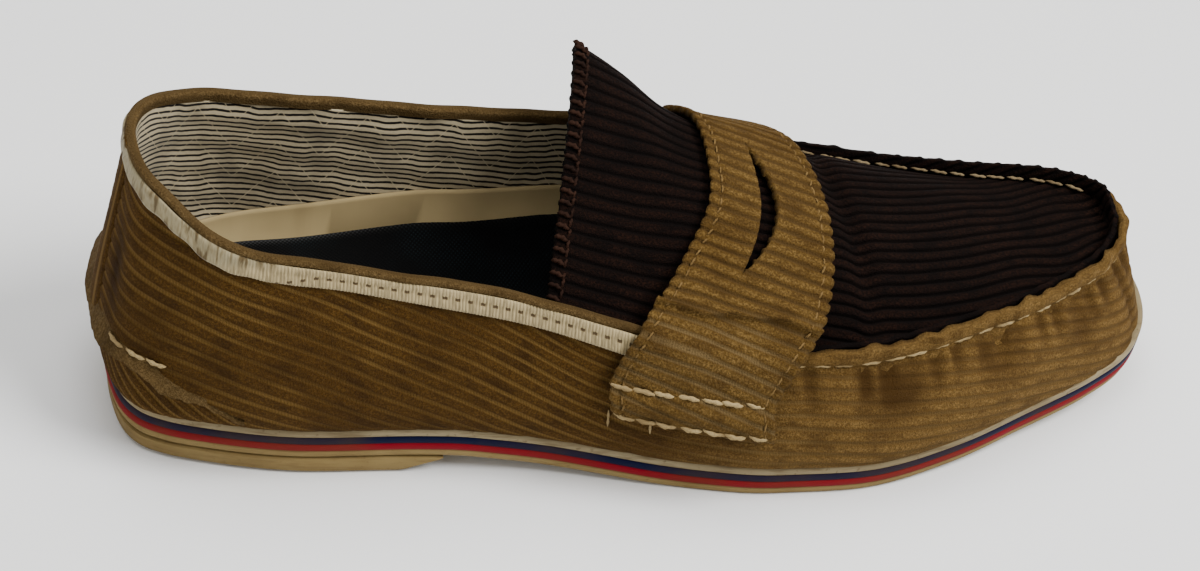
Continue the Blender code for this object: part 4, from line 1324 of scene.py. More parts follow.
def apron_height(x, y):
    """The apron's upper face over a place on the ground."""
    (lateral_y, lateral_z), (medial_y, medial_z) = apron_sides(x)
    crown = {name: table_at(CROWN, name, x) for name in ("y", "z", "full")}
    middle = np.clip(crown["y"], lateral_y + CROWN_MARGIN, medial_y - CROWN_MARGIN)
    left = y < middle
    edge_y, edge_z = np.where(left, lateral_y, medial_y), np.where(left, lateral_z, medial_z)
    share = np.clip((y - edge_y) / np.where(middle == edge_y, 1, middle - edge_y), 0, 1)
    z = edge_z + (crown["z"] - edge_z) * (1 - (1 - share) ** crown["full"])
    trough = TROUGH_DEPTH * bell(x - TROUGH_X + TROUGH_SKEW * y, TROUGH_WIDTH)
    return z - trough * np.clip(share * TROUGH_EASE, 0, 1)


def gather(x, y):
    """How the toe's gathers push the wales aside, in wales."""
    near = np.clip((x - GATHER_FROM) / (GATHER_TO - GATHER_FROM), 0, 1)
    return near * sum(push * np.sin(x / ahead + y / across) for push, ahead, across in GATHERS)


def apron_axis(x):
    """How far to the inner side the apron's wales have run at a place along the foot."""
    return table_at(APRON_AXIS, "shift", x)


def apron_arc(x, y):
    """The length over the apron from its axis to a place beside it, more towards the inner side."""
    start = APRON_MIDDLE + apron_axis(x)
    line_y = start[..., None] + (y - start)[..., None] * np.linspace(0, 1, ARC_STEPS)
    line_z = apron_height(np.broadcast_to(x[..., None], line_y.shape), line_y)
    length = np.hypot(np.diff(line_y), np.diff(line_z)).sum(axis=-1)
    return np.sign(y - start) * length


def apron_cloth():
    """The apron's grid and pattern: columns along the foot, rows along the wales, cut by the seam."""
    t = shares(APRON_COLUMNS)
    x = APRON_START + (APRON_TOE - APRON_START) * np.sin(np.pi / 2 * t)
    (lateral_y, _), (medial_y, _) = apron_sides(x)
    lines = lateral_y[:, None] + (medial_y - lateral_y)[:, None] * np.linspace(0, 1, ARC_STEPS)
    counts = apron_arc(np.broadcast_to(x[:, None], lines.shape), lines) / APRON_WALE
    rows = np.arange(np.floor(counts.min()), counts.max() + 1, 1 / APRON_WALE_SAMPLES)
    y = np.array([np.interp(rows, *line) for line in zip(counts, lines)])
    count = np.clip(rows[None, :], counts[:, :1], counts[:, -1:])
    x = np.broadcast_to(x[:, None], y.shape)
    z = apron_height(x, y)
    wavy = count + gather(x, y) + sway(x, count)
    step = 0.4
    slope = [(apron_height(x + dx, y + dy) - apron_height(x - dx, y - dy)) / (2 * step)
             for dx, dy in ((step, 0), (0, step))]
    normal = np.stack([-slope[0], -slope[1], np.ones_like(z)], -1)
    normal /= np.linalg.norm(normal, axis=-1, keepdims=True)
    grid = np.stack([x, y, z], -1) + normal * wale_relief(wavy, APRON_RELIEF)[..., None]
    return grid, np.stack([x, wavy], -1)


def apron_edge():
    """The turned-up edge's grid and pattern: the apron's own wales, bent up at the seam's foot."""
    q = np.linspace(APRON_REAR + EDGE_ENDS, 2 - APRON_REAR - EDGE_ENDS, EDGE_COLUMNS + 1)
    foot = apron_base(q)
    out = level_out(top_edge, q)
    top = upper_column("stand", q) - APRON_BELOW_EDGE - APRON_LIFT + APRON_FAR_RISE * far_edge(q)
    rise = np.linspace(-EDGE_TUCK, 1, EDGE_ROWS + 1)[None, :] * top[:, None]
    bulge = EDGE_BULGE * np.sin(np.pi * np.clip(rise / top[:, None], 0, 1))
    pinch = EDGE_PINCH * np.cos(seam_phase(q))[:, None] * np.clip(rise / top[:, None], 0, 1)
    count = (apron_arc(foot[:, :1], foot[:, 1:2]) + rise * out[:, None, 1]) / APRON_WALE
    fade = np.clip(EDGE_FADE * (1 - rise / top[:, None]), EDGE_FADE_LEAST, 1)
    inward = bulge - pinch - EDGE_CLEAR + fade * wale_relief(count, EDGE_RELIEF)
    grid = foot[:, None] - out[:, None] * inward[..., None] + rise[..., None] * UP
    lengthwise = foot[:, None, 0] + rise * out[:, None, 0]
    return grid[::-1], np.stack([lengthwise, count], -1)[::-1]


brown_corduroy = corduroy("brown corduroy", BROWN_DYE, sheen=0.02)
apron_grid, apron_pattern = apron_cloth()
apron_shape = lay("apron_cloth", apron_grid, apron_pattern)
apron = thicken(show("apron_cloth", apron_shape, brown_corduroy, "brown_corduroy", "apron"), APRON_CLOTH)
edge_shape = lay("apron_turned_edge", *apron_edge())
edge = thicken(show("apron_turned_edge", edge_shape, brown_corduroy, "brown_corduroy"), APRON_CLOTH)
apron_cut = cut_size(apron_grid, round_edged=True)
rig.sheet(apron, held="stretched", rests_on=["quarters"], with_pieces=[edge], **apron_cut)

# Tongue: dark brown corduroy, sewn in under the strap and along its outer side. Its free edge is
# overcast in brown thread and stands up at the inner side.
TONGUE = 2.0
TONGUE_WALE = 3.55
TONGUE_ROWS = table(
    "x crest_y crest_z medial_y medial_z full",
    (100, 27.0, 97.0, 33.0, 95.0, 1.1),
    (119, 26.0, 86.5, 33.0, 84.0, 1.25),
    (132, 23.5, 78.5, 33.5, 74.0, 1.6),
    (144, 19.0, 70.0, 34.0, 62.5, 2.4),
    (155, 14.5, 65.5, 33.5, 56.0, 3.0),
)
TONGUE_FRONT = 155.0
TONGUE_FREE_LATERAL = 104.0
TONGUE_FREE_MEDIAL = 120.0
TONGUE_TUCK = 1.5
TONGUE_HEM = 2.6
TONGUE_HEM_DEPTH = 0.35
TONGUE_SWAY = 20
TONGUE_SIDE = WALL + 1.2
TONGUE_COLUMNS = 60
TONGUE_ROWS_ACROSS = 260
RIM_ROUND = np.linspace(0.1, 0.98, 200)


def edge_at(x, lateral):
    """The upper's top edge at a place along the foot, as y and z."""
    edge = top_edge(RIM_ROUND if lateral else 2 - RIM_ROUND)
    return on_line(x, edge[:, 0], edge[:, 1:])


def tongue_sheet(x, across):
    """The tongue's upper face: x along the foot, across from its lateral (0) to its medial edge (1)."""
    names = ("crest_y", "crest_z", "medial_y", "medial_z", "full")
    row = {name: table_at(TONGUE_ROWS, name, x) for name in names}
    side = edge_at(x, True) + np.array([TONGUE_SIDE, -TONGUE_TUCK])
    y = side[..., 0] + (row["medial_y"] - side[..., 0]) * across
    to_crest = np.clip((y - side[..., 0]) / (row["crest_y"] - side[..., 0]), 0, 1)
    past = np.clip((y - row["crest_y"]) / (row["medial_y"] - row["crest_y"]), 0, 1)
    rise = (row["crest_z"] - side[..., 1]) * (1 - (1 - to_crest) ** row["full"])
    z = side[..., 1] + rise - (row["crest_z"] - row["medial_z"]) * past**2
    return np.stack([np.broadcast_to(x, y.shape), y, z], -1)


def tongue_cloth():
    """The tongue's grid and pattern, from its free edge forward."""
    across = shares(TONGUE_ROWS_ACROSS)
    free = TONGUE_FREE_LATERAL + (TONGUE_FREE_MEDIAL - TONGUE_FREE_LATERAL) * across
    back = np.linspace(1, 0, TONGUE_COLUMNS + 1)
    x = TONGUE_FRONT + (free[None, :] - TONGUE_FRONT) * back[:, None]
    across = np.broadcast_to(across, x.shape)
    sheet = tongue_sheet(x.ravel(), across.ravel()).reshape(x.shape + (3,))
    run = run_along(sheet)
    count = run[TONGUE_COLUMNS // 2][None, :] / TONGUE_WALE + sway(x, across * TONGUE_SWAY)
    hem = np.clip((x - free[None, :]) / TONGUE_HEM, 0, 1)
    relief = wale_relief(count) * hem - TONGUE_HEM_DEPTH * (1 - hem) ** 2
    return sheet + normals_of(sheet) * relief[..., None], np.stack([x, count], -1)


tongue_grid, tongue_pattern = tongue_cloth()
tongue_shape = lay("tongue_cloth", tongue_grid, tongue_pattern)
tongue = thicken(show("tongue_cloth", tongue_shape, brown_corduroy, "brown_corduroy", "tongue"), TONGUE)
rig.sheet(tongue, held="laid", rests_on=["quarters"], **cut_size(tongue_grid))

# Saddle strap: tan corduroy across the instep, its wales lengthwise, with a crescent slot. Its edges
# are turned under, and each end is folded in a roll and sewn down with two rows of thread.
STRAP = 2.2
STRAP_ROWS = table(
    "across rear front",
    (0.00, 121.5, 163.5),
    (0.06, 119.5, 162.3),
    (0.12, 121.5, 165.8),
    (0.20, 127.5, 172.8),
    (0.28, 136.0, 177.5),
    (0.42, 147.5, 181.5),
    (0.52, 150.0, 182.2),
    (0.62, 151.0, 181.2),
    (0.72, 150.0, 179.5),
    (0.80, 146.0, 177.0),
    (0.92, 134.0, 171.0),
    (1.00, 134.0, 172.0),
)
STRAP_TOP_REAR = 143.0
STRAP_END_REAR = 28.0
STRAP_END_SLOPE = -0.13
STRAP_CLEAR = 1.0
STRAP_HEART = (150, 0, 35)
STRAP_WRAP_FROM = 200
STRAP_WRAP_TO = -20
STRAP_EASE = 12
STRAP_ROLL_SHARE = 0.066
STRAP_ROLL = 1.6
STRAP_FOLD = 0.22
STRAP_FOLD_RISE = 1.9
STRAP_FOLD_OVER = 7.0
STRAP_FOLD_BACK = 0.5
STRAP_FOLD_WAVES = ((0.7, 6, 0), (0.4, 2.3, 0))
SLIT_MIDDLE = 0.44
SLIT_HALF = 0.148
SLIT_WIDTH = 0.15
SLIT_LINE = 0.40
SLIT_BOW = 0.08
SLIT_CALM = 0.35
SLIT_CALM_OVER = 3
STRAP_HALF_COLUMNS = 18
STRAP_ACROSS = 440
COVER_X = np.linspace(112, 190, 27)
COVER_SHARES = np.linspace(0, 1, 401)
CUT_ROUND = np.linspace(0.2, 0.95, 80)
CUT_STRIDE = 4
INSTEP_STEPS = 24
STRAP_WALE = 3.85
STRAP_SLANT = 0.17
STRAP_END_SLANT = 0.15
STRAP_SLANT_FROM = 0.36
STRAP_RELIEF = 1.05
HEM = 3.0
HEM_DEPTH = 0.7
HEM_WIDTH = 0.55
EDGE_ROLL = 0.6
EDGE_ROLL_REACH = 0.7
EDGE_SCALLOP = 0.55
EDGE_SCALLOP_SHARE = 0.4
EDGE_SCALLOP_REACH = 0.9
STRAP_DYE = Dye(
    pile=(0.070, 0.037, 0.0075), crest=(0.175, 0.105, 0.030), shade=(0.028, 0.0125, 0.0022),
    ground=(0.22, 0.145, 0.054), bare=0.15)
STRAP_END_FADE = Fade(STRAP_DYE._replace(ground=(0.24, 0.165, 0.070), bare=0.45), 1, -0.034, -0.039)


def cut_across(grid, x):
    """Where the lines of a grid that run along the foot meet a plane across it, as y and z."""
    lines = [grid[:, j] for j in range(0, grid.shape[1], CUT_STRIDE)]
    return np.array([on_line(x, line[:, 0], line[:, 1:]) for line in lines])


WALL_SIDES = upper_face(CUT_ROUND), upper_face(2 - CUT_ROUND)


def instep_cut(x):
    """What the strap lies on between the two walls, as y and z."""
    across = np.linspace(0, 1, INSTEP_STEPS)
    if x < TONGUE_FRONT:
        return tongue_sheet(np.full(len(across), max(x, STRAP_TOP_REAR)), across)[:, 1:]
    (lateral_y, _), (medial_y, _) = apron_sides(x)
    y = lateral_y + (medial_y - lateral_y) * across
    return np.stack([y, apron_height(np.full(len(y), x), y)], -1)


def cover_line(x):
    """The line of a strap pulled tight across the shoe, from its lateral to its medial end."""
    points = np.vstack([cut_across(WALL_SIDES[0], x), instep_cut(x), cut_across(WALL_SIDES[1], x)])
    middle = np.array(STRAP_HEART[1:], float)
    angle = np.radians(np.arange(STRAP_WRAP_FROM, STRAP_WRAP_TO - 1, -1.0))
    normal = np.stack([np.cos(angle), np.sin(angle)], -1)
    tangent = np.stack([-np.sin(angle), np.cos(angle)], -1)
    reach = ((points - middle) @ normal.T).max(axis=0)
    window = np.hanning(2 * STRAP_EASE + 1)
    reach = np.convolve(np.pad(reach, STRAP_EASE, mode="edge"), window / window.sum(), mode="valid")
    reach += STRAP_CLEAR
    line = middle + reach[:, None] * normal + np.gradient(reach, angle)[:, None] * tangent
    end = STRAP_END_REAR + STRAP_END_SLOPE * (x - STRAP_ROWS[0].rear)
    line = line[line[:, 1] > end]
    line = np.vstack([(line[0, 0], end), line, (line[-1, 0], end)])
    run = run_line(line)
    return on_line(COVER_SHARES * run[-1], run, line)


COVER = np.array([cover_line(x) for x in COVER_X])


def cover(x, share):
    """The strap's under face at places along the foot and shares of its length."""
    a = np.clip((x - COVER_X[0]) / (COVER_X[1] - COVER_X[0]), 0, len(COVER_X) - 1.001)
    b = np.clip(share * (len(COVER_SHARES) - 1), 0, len(COVER_SHARES) - 1.001)
    i, j = a.astype(int), b.astype(int)
    s, t = (a - i)[..., None], (b - j)[..., None]
    flat = ((1 - s) * ((1 - t) * COVER[i, j] + t * COVER[i, j + 1])
            + s * ((1 - t) * COVER[i + 1, j] + t * COVER[i + 1, j + 1]))
    return np.concatenate([x[..., None], flat], -1)


def strap_place(part, across):
    """The strap's under face: part 0 to 1 is its rear half up to the slot, 1 to 2 its front half."""
    rear, front = (table_at(STRAP_ROWS, name, across)
                   for name in ("rear", "front"))
    place = (across - SLIT_MIDDLE) / SLIT_HALF
    inside = np.clip(1 - place**2, 0, None)
    line = SLIT_LINE + SLIT_BOW * inside
    half = SLIT_WIDTH / 2 * inside
    share = np.where(part <= 1, part * (line - half), line + half + (part - 1) * (1 - line - half))
    return cover(rear + (front - rear) * share, across)


def strap_cloth():
    """The strap's grid and pattern: columns from its rear to its front edge, with the slot's cut between."""
    half = shares(STRAP_HALF_COLUMNS)
    part = np.concatenate([half, half + 1 + 1e-9])
    across = shares(STRAP_ACROSS)
    part, across = np.meshgrid(part, across, indexing="ij")
    under = strap_place(part, across)
    end = np.minimum(across, 1 - across) / STRAP_ROLL_SHARE
    thick = STRAP + STRAP_ROLL * np.where(end < 1, np.sin(np.pi * np.clip(end, 0, 1)), 0)
    halves = [under[:STRAP_HALF_COLUMNS + 1], under[STRAP_HALF_COLUMNS + 1:]]
    normal = np.concatenate([normals_of(half) for half in halves])
    seam = normal[STRAP_HALF_COLUMNS] + normal[STRAP_HALF_COLUMNS + 1]
    normal[STRAP_HALF_COLUMNS:STRAP_HALF_COLUMNS + 2] = seam / np.linalg.norm(seam, axis=-1, keepdims=True)
    run = run_along(under)
    run[STRAP_HALF_COLUMNS + 1] = run[STRAP_HALF_COLUMNS]
    slant = STRAP_SLANT + STRAP_END_SLANT * np.clip(1 - across / STRAP_SLANT_FROM, 0, 1)
    count = (run[STRAP_HALF_COLUMNS][None, :] + slant * (under[..., 0] - STRAP_HEART[0])) / STRAP_WALE
    wavy = count + sway(under[..., 0], count)
    width = (under[-1, :, 0] - under[0, :, 0])[None, :]
    from_front = under[-1, :, 0][None, :] - under[..., 0]
    from_rear = under[..., 0] - under[0, :, 0][None, :]
    from_edge = np.minimum(from_front, from_rear)
    hem = HEM_DEPTH * bell(from_edge - HEM, HEM_WIDTH) + EDGE_ROLL * np.exp(-from_edge / EDGE_ROLL_REACH)
    beyond = run - STRAP_FOLD * run[:, -1:] - waves(under[..., 0], STRAP_FOLD_WAVES)
    slope = np.where(beyond > 0, np.exp(-beyond.clip(0) / STRAP_FOLD_OVER), bell(beyond, STRAP_FOLD_BACK))
    thick = thick + STRAP_FOLD_RISE * slope
    from_slot = np.abs(part - 1) * width / 2
    beside_slot = np.abs(across - SLIT_MIDDLE) < SLIT_HALF
    calm = np.where(beside_slot, np.clip(SLIT_CALM + from_slot / SLIT_CALM_OVER, 0, 1), 1)
    grid = under + normal * (thick + calm * wale_relief(wavy, STRAP_RELIEF) - hem)[..., None]
    notch = EDGE_SCALLOP * bell(np.abs(2 * np.mod(wavy, 1) - 1) - 1, EDGE_SCALLOP_SHARE)
    at_rear, at_front = (np.exp(-away / EDGE_SCALLOP_REACH) for away in (from_rear, from_front))
    grid[..., 0] += notch * (at_rear - at_front)
    return grid, np.stack([under[..., 0], wavy], -1)


strap_grid, strap_pattern = strap_cloth()
strap = lay("saddle_strap", strap_grid, strap_pattern, cut_column=STRAP_HALF_COLUMNS)
strap_corduroy = corduroy("strap corduroy", STRAP_DYE, STRAP_END_FADE)
saddle = thicken(show("saddle_strap", strap, strap_corduroy, "tan_corduroy", "strap"), STRAP - GAP)
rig.sheet(saddle, held="stretched", rests_on=["quarters", "tongue_cloth", "apron_cloth"],
         **cut_size(strap_grid))

# Footbed and sock: a cream moulded insole with raised sides and an arch, and a black cloth sock glued
# into it. They are laid in once the upper is on its sole.
FOOTBED = 4.0
FOOTBED_FILL = 0.9
FOOTBED_CLEAR = 1.2
FOOTBED_SIDE = 1.4
FOOTBED_HOLLOW = 0.8
ARCH_REACH = 17.0
SOCK_GAP = 0.3
SOCK = 0.9
FOOTBED_ROWS = table(
    "round side floor",
    (0.00, 9.0, 4.6),
    (0.25, 8.0, 4.5),
    (0.45, 7.0, 4.4),
    (0.62, 5.6, 4.2),
    (1.00, 5.6, 4.2),
    (1.35, 6.5, 4.4),
    (1.45, 18.0, 10.0),
    (1.55, 25.5, 16.5),
    (1.62, 22.5, 12.0),
    (1.72, 16.0, 5.6),
    (1.85, 11.5, 4.8),
)
# A line of the footbed: which of the table's columns it follows, how far above that, how far inside
BedLine = namedtuple("BedLine", "follows lift inset")
INSIDE = FOOTBED_CLEAR + FOOTBED_SIDE
HOLLOW = INSIDE + FOOTBED_HOLLOW
MIDDLE = FOOTBED_CLEAR + ARCH_REACH
FOOTBED_LINES = (
    BedLine(None, 0.2, FOOTBED_CLEAR),
    BedLine("side", -1.0, FOOTBED_CLEAR),
    BedLine("side", -0.2, FOOTBED_CLEAR + 0.25),
    BedLine("side", 0, FOOTBED_CLEAR + 0.6),
    BedLine("side", -0.3, INSIDE - 0.2),
    BedLine("side", -1.0, INSIDE),
    BedLine("floor", 0.6, HOLLOW - 0.2),
    BedLine("floor", 0, HOLLOW + 0.6),
    BedLine(None, FOOTBED, MIDDLE),
)
SOCK_EDGE = BedLine("floor", SOCK_GAP + SOCK, HOLLOW + 0.4)
SOCK_MIDDLE = BedLine(None, FOOTBED + SOCK_GAP + SOCK, MIDDLE)
SOCK_ACROSS = 24
FOAM = (0.40, 0.305, 0.150)
FOAM_SOIL = (0.24, 0.176, 0.082)
SOCK_WEAVE = 1.1 * MM
SOCK_BLACK = (0.0016, 0.0016, 0.0017)
SOCK_THREAD = (0.007, 0.012, 0.014)


def bed_edge(line, u, medial):
    """A line round the footbed, inside the wall."""
    q = 2 - u if medial else u
    grid = wall(q, PROFILE)
    rise = line.lift
    if line.follows:
        rise = rise + round_foot(column(FOOTBED_ROWS, "round"), column(FOOTBED_ROWS, line.follows), q)
    height = sole_line(q, UPPER_INSET, UPPER_LEVEL)[:, 2] + rise
    face = np.array([on_line(z, row[:, 2], row[:, :2]) for z, row in zip(height, grid)])
    flat = face - outward(sole_edge, q) * (WALL + line.inset)
    return np.concatenate([flat, height[:, None]], -1)


def sock_cloth():
    """The sock's upper face, from its lateral to its medial edge, turned up along both."""
    u = shares(SOLE_COLUMNS)
    edges, middles = ([bed_edge(line, u, inner) for inner in (False, True)]
                      for line in (SOCK_EDGE, SOCK_MIDDLE))
    t = shares(SOCK_ACROSS)
    across = edges[1] - edges[0]
    grid = edges[0][:, None] + across[:, None] * t[None, :, None]
    reaches = [np.hypot(*(middle - edge).T[:2])[:, None] for edge, middle in zip(edges, middles)]
    from_edge = np.hypot(*across.T[:2])[:, None] * np.minimum(t, 1 - t)
    turned_up = np.clip(1 - from_edge / np.where(t < 0.5, *reaches), 0, 1)
    level = middles[0][:, 2:]
    grid[..., 2] = level + turned_up * (np.where(t < 0.5, edges[0][:, 2:], edges[1][:, 2:]) - level)
    return grid


def foam_material():
    """Cream foam with a smooth skin, soiled and faintly creased by the foot."""
    material, tree, shader = finish("cream foam", 0.55)
    place = own_place(tree)
    upright = add_node(tree, "Mapping", {"Vector": place, "Scale": (1.0, 1.0, 0.15)}).outputs[0]
    creases = noise(tree, upright, 90.0, 3.0)
    cloud = noise(tree, place, 30.0, 3.0)
    colour = mix(tree, ramp(tree, cloud, 0.35, 0.75, 0.0, 0.7), FOAM, FOAM_SOIL)
    colour = mix(tree, ramp(tree, creases, 0.55, 0.75, 0.0, 0.4), colour, FOAM_SOIL)
    cover_with(tree, shader, colour, creases, 0.35, 0.0008)
    return material


def sock_material():
    """Black woven cloth with a few dull blue threads, flattened by wear."""
    material, tree, shader = finish("black sock", 0.95, sheen=0.05)
    place = own_place(tree)
    threads = [math(tree, "SINE", math(tree, "MULTIPLY", axis, 2 * np.pi / SOCK_WEAVE))
               for axis in add_node(tree, "SeparateXYZ", {0: place}).outputs[:2]]
    weave = math(tree, "MULTIPLY", *threads)
    patches = noise(tree, place, 55.0, 4.0)
    lit = math(tree, "MULTIPLY", ramp(tree, weave, 0.1, 0.7), ramp(tree, patches, 0.42, 0.7))
    cover_with(tree, shader, mix(tree, lit, SOCK_BLACK, SOCK_THREAD), weave, 0.4, 0.0002)
    return material


footbed = close_ends(lay("footbed_foam", sole_block(FOOTBED_LINES, bed_edge)))
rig.padded(show("footbed_foam", footbed, foam_material(), "cream_foam", "footbed"), fill=FOOTBED_FILL)
sock_grid = sock_cloth()
sock_shape = lay("sock_cloth", sock_grid)
sock = thicken(show("sock_cloth", sock_shape, sock_material(), "black_cloth", "sock"), SOCK)
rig.sheet(sock, held="laid", rests_on=["footbed_foam"], **cut_size(sock_grid, round_edged=True))

# Stitching: thick cream thread, sewn by hand, joins the apron to the upper and holds the strap's ends and
# the heel's flap. A finer tan thread hems the strap. Each stitch is a short twisted length that dives
# into the cloth.
THREAD = 0.52
INNER_THREAD = 0.40
INNER_STITCH = 5.5
INNER_STITCH_LENGTH = 4.9
INNER_STITCH_FROM = 1.13
INNER_STITCH_LIFT = 1.0
INNER_LIFT_FROM = 1.27
INNER_LIFT_OVER = 0.08
INNER_STITCH_UP = 0.9
INNER_STITCH_IN = 0.3
SEAM_STITCH_ENDS = 0.005
SEAM_STITCH_OUT = 0.1
SEAM_STITCH_UP = 0.7
SEAM_STEPS = 500
SEAM_STITCH_TURN = 0.3
INNER_STITCH_TURN = 0.6
STITCH_ALONG = 14
STITCH_AROUND = 8
STITCH_LENGTH = 7.1
STITCH_TWIST = 2.2
STITCH_PLY = 0.30
STITCH_TILT = 0.45
STITCH_NECK = 0.35
STITCH_BOW = 1.3
STITCH_DIVE = 0.9
STITCH_SHIFT = 0.35
STITCH_STRETCH = 0.4
STITCH_UNEVEN = 0.35
STITCH_SUNK = 0.15
STITCH_SWELL = 0.12
THREAD_CREAM = (0.32, 0.235, 0.112)
THREAD_SOIL = (0.15, 0.098, 0.040)
SHADED_THREAD = (0.19, 0.140, 0.075)
SHADED_THREAD_SOIL = (0.09, 0.060, 0.028)
TAN_THREAD = (0.150, 0.092, 0.032)
TAN_THREAD_SOIL = (0.09, 0.052, 0.016)
HEM_STITCH_LENGTH = 2.7
HEM_THREAD = 0.26
HEM_PROUD = 0.2
STRAP_STITCH_SHARES = (STRAP_ROLL_SHARE, 0.008)
STRAP_STITCH = 6.0
STRAP_STITCH_LENGTH = 6.2
STRAP_STITCH_PROUD = 0.25
STRAP_THREAD = 0.6
FLAP_STITCH = 6.6
FLAP_STITCH_LENGTH = 5.6
FLAP_THREAD = 0.5
FLAP_STITCH_UP = 20.4
FLAP_STITCHES = {1: (0.060, 0.166), -1: (0.090, 0.170)}
FLAP_STITCH_OUT = 0.5
FLAP_STITCH_STEPS = 60
TAIL_PLACES = ((0.452, 5.5), (0.476, 6.5))
TAIL_STEPS = 12
TAIL_OUT = 0.6
TAIL_CURL = np.array([0.5, 0, 0])
TAIL_HELD = 0.4
TAIL_THREAD = 0.3


def add_stitch(shape, ends, normal, radius):
    """One stitch between two points, bowed out of the cloth and thin where it dives in."""
    made = bmesh.ops.create_grid(shape, x_segments=STITCH_ALONG, y_segments=STITCH_AROUND, size=0.5)
    start, end = ends
    ahead = (end - start) / np.linalg.norm(end - start)
    side = np.cross(ahead, normal)
    side /= np.linalg.norm(side)
    out = np.cross(side, ahead)
    for vert in made["verts"]:
        t, turn = vert.co.x + 0.5, (vert.co.y + 0.5) * 2 * np.pi
        bow = np.sin(np.pi * t)
        plies = 1 + STITCH_PLY * np.cos(2 * turn + STITCH_TWIST * 2 * np.pi * t)
        girth = radius * (STITCH_NECK + (1 - STITCH_NECK) * bow**0.45) * plies
        centre = start + (end - start) * t + out * radius * (STITCH_BOW * bow**0.6 - STITCH_DIVE)
        centre = centre + side * radius * STITCH_TILT * (2 * t - 1)
        vert.co = (centre + girth * (np.cos(turn) * out + np.sin(turn) * side) + FOOT_ZERO) * MM


def stitch_row(shape, path, normal, pitch, length, radius):
    """Stitches at an even pitch along a path on the cloth."""
    run = run_line(path)
    for k in range(int(run[-1] // pitch)):
        spread = (pitch - length) / 2 + STITCH_SHIFT * np.sin(2.3 * k)
        at = k * pitch + spread, k * pitch + spread + length + STITCH_STRETCH * np.sin(1.7 * k + 1)
        facing = on_line(sum(at) / 2, run, normal)
        sunk = facing * radius * (STITCH_UNEVEN * np.sin(2.9 * k + 0.6) - STITCH_SUNK)
        ends = [on_line(place, run, path) + sunk for place in at]
        add_stitch(shape, ends, facing, radius * (1 + STITCH_SWELL * np.sin(3.1 * k)))


def thread_material(name, colour, soil):
    """Twisted cotton thread, soiled in places."""
    material, tree, shader = finish(name, 0.85)
    place = own_place(tree)
    fibre = noise(tree, place, 2600.0, 2.0)
    dirt = noise(tree, place, 120.0, 3.0)
    shade = mix(tree, ramp(tree, dirt, 0.4, 0.7, 0.0, 0.8), colour, soil)
    shade = mix(tree, ramp(tree, fibre, 0.5, 0.7, 0.0, 0.6), shade, soil)
    cover_with(tree, shader, shade, fibre, 0.5, 0.0002)
    return material


def sew(name, rows, material, slot):
    """All the stitches of some rows, as one piece."""
    shape = bmesh.new()
    for row in rows:
        stitch_row(shape, *row)
    bmesh.ops.remove_doubles(shape, verts=shape.verts, dist=WELD * MM)
    bmesh.ops.holes_fill(shape, edges=shape.edges, sides=0)
    bmesh.ops.recalc_face_normals(shape, faces=shape.faces)
    return show(name, freeze(shape, name), material, slot)


def seam_rows():
    """The thread along the apron's seam: outside at the foot of the turned-up edge, and inside it."""
    q = np.linspace(SEAM_FROM + SEAM_STITCH_ENDS, SEAM_TO - SEAM_STITCH_ENDS, SEAM_STEPS)
    out = level_out(top_edge, q)
    outside = top_edge(q) + out * SEAM_STITCH_OUT + UP * SEAM_STITCH_UP
    far = q > INNER_STITCH_FROM
    lift = INNER_STITCH_UP + INNER_STITCH_LIFT * np.clip((q - INNER_LIFT_FROM) / INNER_LIFT_OVER, 0, 1)
    inside = (apron_base(q) - out * INNER_STITCH_IN + UP * lift[:, None])[far]
    return ((outside, out + SEAM_STITCH_TURN * UP, SEAM_STITCH, STITCH_LENGTH, THREAD),
            (inside, (INNER_STITCH_TURN * UP - out)[far], INNER_STITCH, INNER_STITCH_LENGTH, INNER_THREAD))


def strap_rows():
    """Two rows of thread on each of the strap's ends."""
    normal = normals_of(strap_grid)
    last = strap_grid.shape[1] - 1
    rows = []
    for share in STRAP_STITCH_SHARES:
        for j in (round(share * last), round((1 - share) * last)):
            facing = normal[:, j]
            facing[STRAP_HALF_COLUMNS:STRAP_HALF_COLUMNS + 2] = facing[STRAP_HALF_COLUMNS - 1]
            path = strap_grid[:, j] + STRAP_STITCH_PROUD * facing
            rows.append((path, facing, STRAP_STITCH, STRAP_STITCH_LENGTH, STRAP_THREAD))
    return rows


def flap_rows():
    """A few stitches on each side of the heel, along its flap."""
    rows = []
    for side in (1, -1):
        q = side * np.linspace(*FLAP_STITCHES[side], FLAP_STITCH_STEPS)
        face = wall(q, PROFILE)
        height = np.full((len(q), 1), FLAP_STITCH_UP)
        path = along(face, run_along(face), height)[:, 0] + level_out(sole_edge, q) * FLAP_STITCH_OUT
        rows.append((path, level_out(sole_edge, q), FLAP_STITCH, FLAP_STITCH_LENGTH, FLAP_THREAD))
    return rows


def tail_rows():
    """The loose thread ends that hang below the strap's lateral end."""
    rows = []
    for place, length in TAIL_PLACES:
        q = np.full(TAIL_STEPS, place)
        face = wall(q, PROFILE)
        low = strap_grid[0, 0, 2] - np.linspace(0, length, len(q))
        path = on_line(low, face[0, :, 2], face[0])
        out = level_out(sole_edge, q)
        path += out * TAIL_OUT + TAIL_CURL * np.sin(np.linspace(0, 4, len(q)))[:, None]
        rows.append((path, out, length, length - TAIL_HELD, TAIL_THREAD))
    return rows


def hem_rows():
    """One short stitch to a wale, along the fold of each of the strap's long edges."""
    normal = normals_of(strap_grid)
    rows = []
    for edge in (0, -1):
        apart = np.abs(strap_grid[..., 0] - strap_grid[edge, :, 0][None, :])
        order = slice(None) if edge == 0 else slice(None, None, -1)
        line, facing = (np.array([on_line(HEM, apart[order, j], values[order, j])
                                  for j in range(strap_grid.shape[1])]) for values in (strap_grid, normal))
        rows.append((line + HEM_PROUD * facing, facing, STRAP_WALE, HEM_STITCH_LENGTH, HEM_THREAD))
    return rows


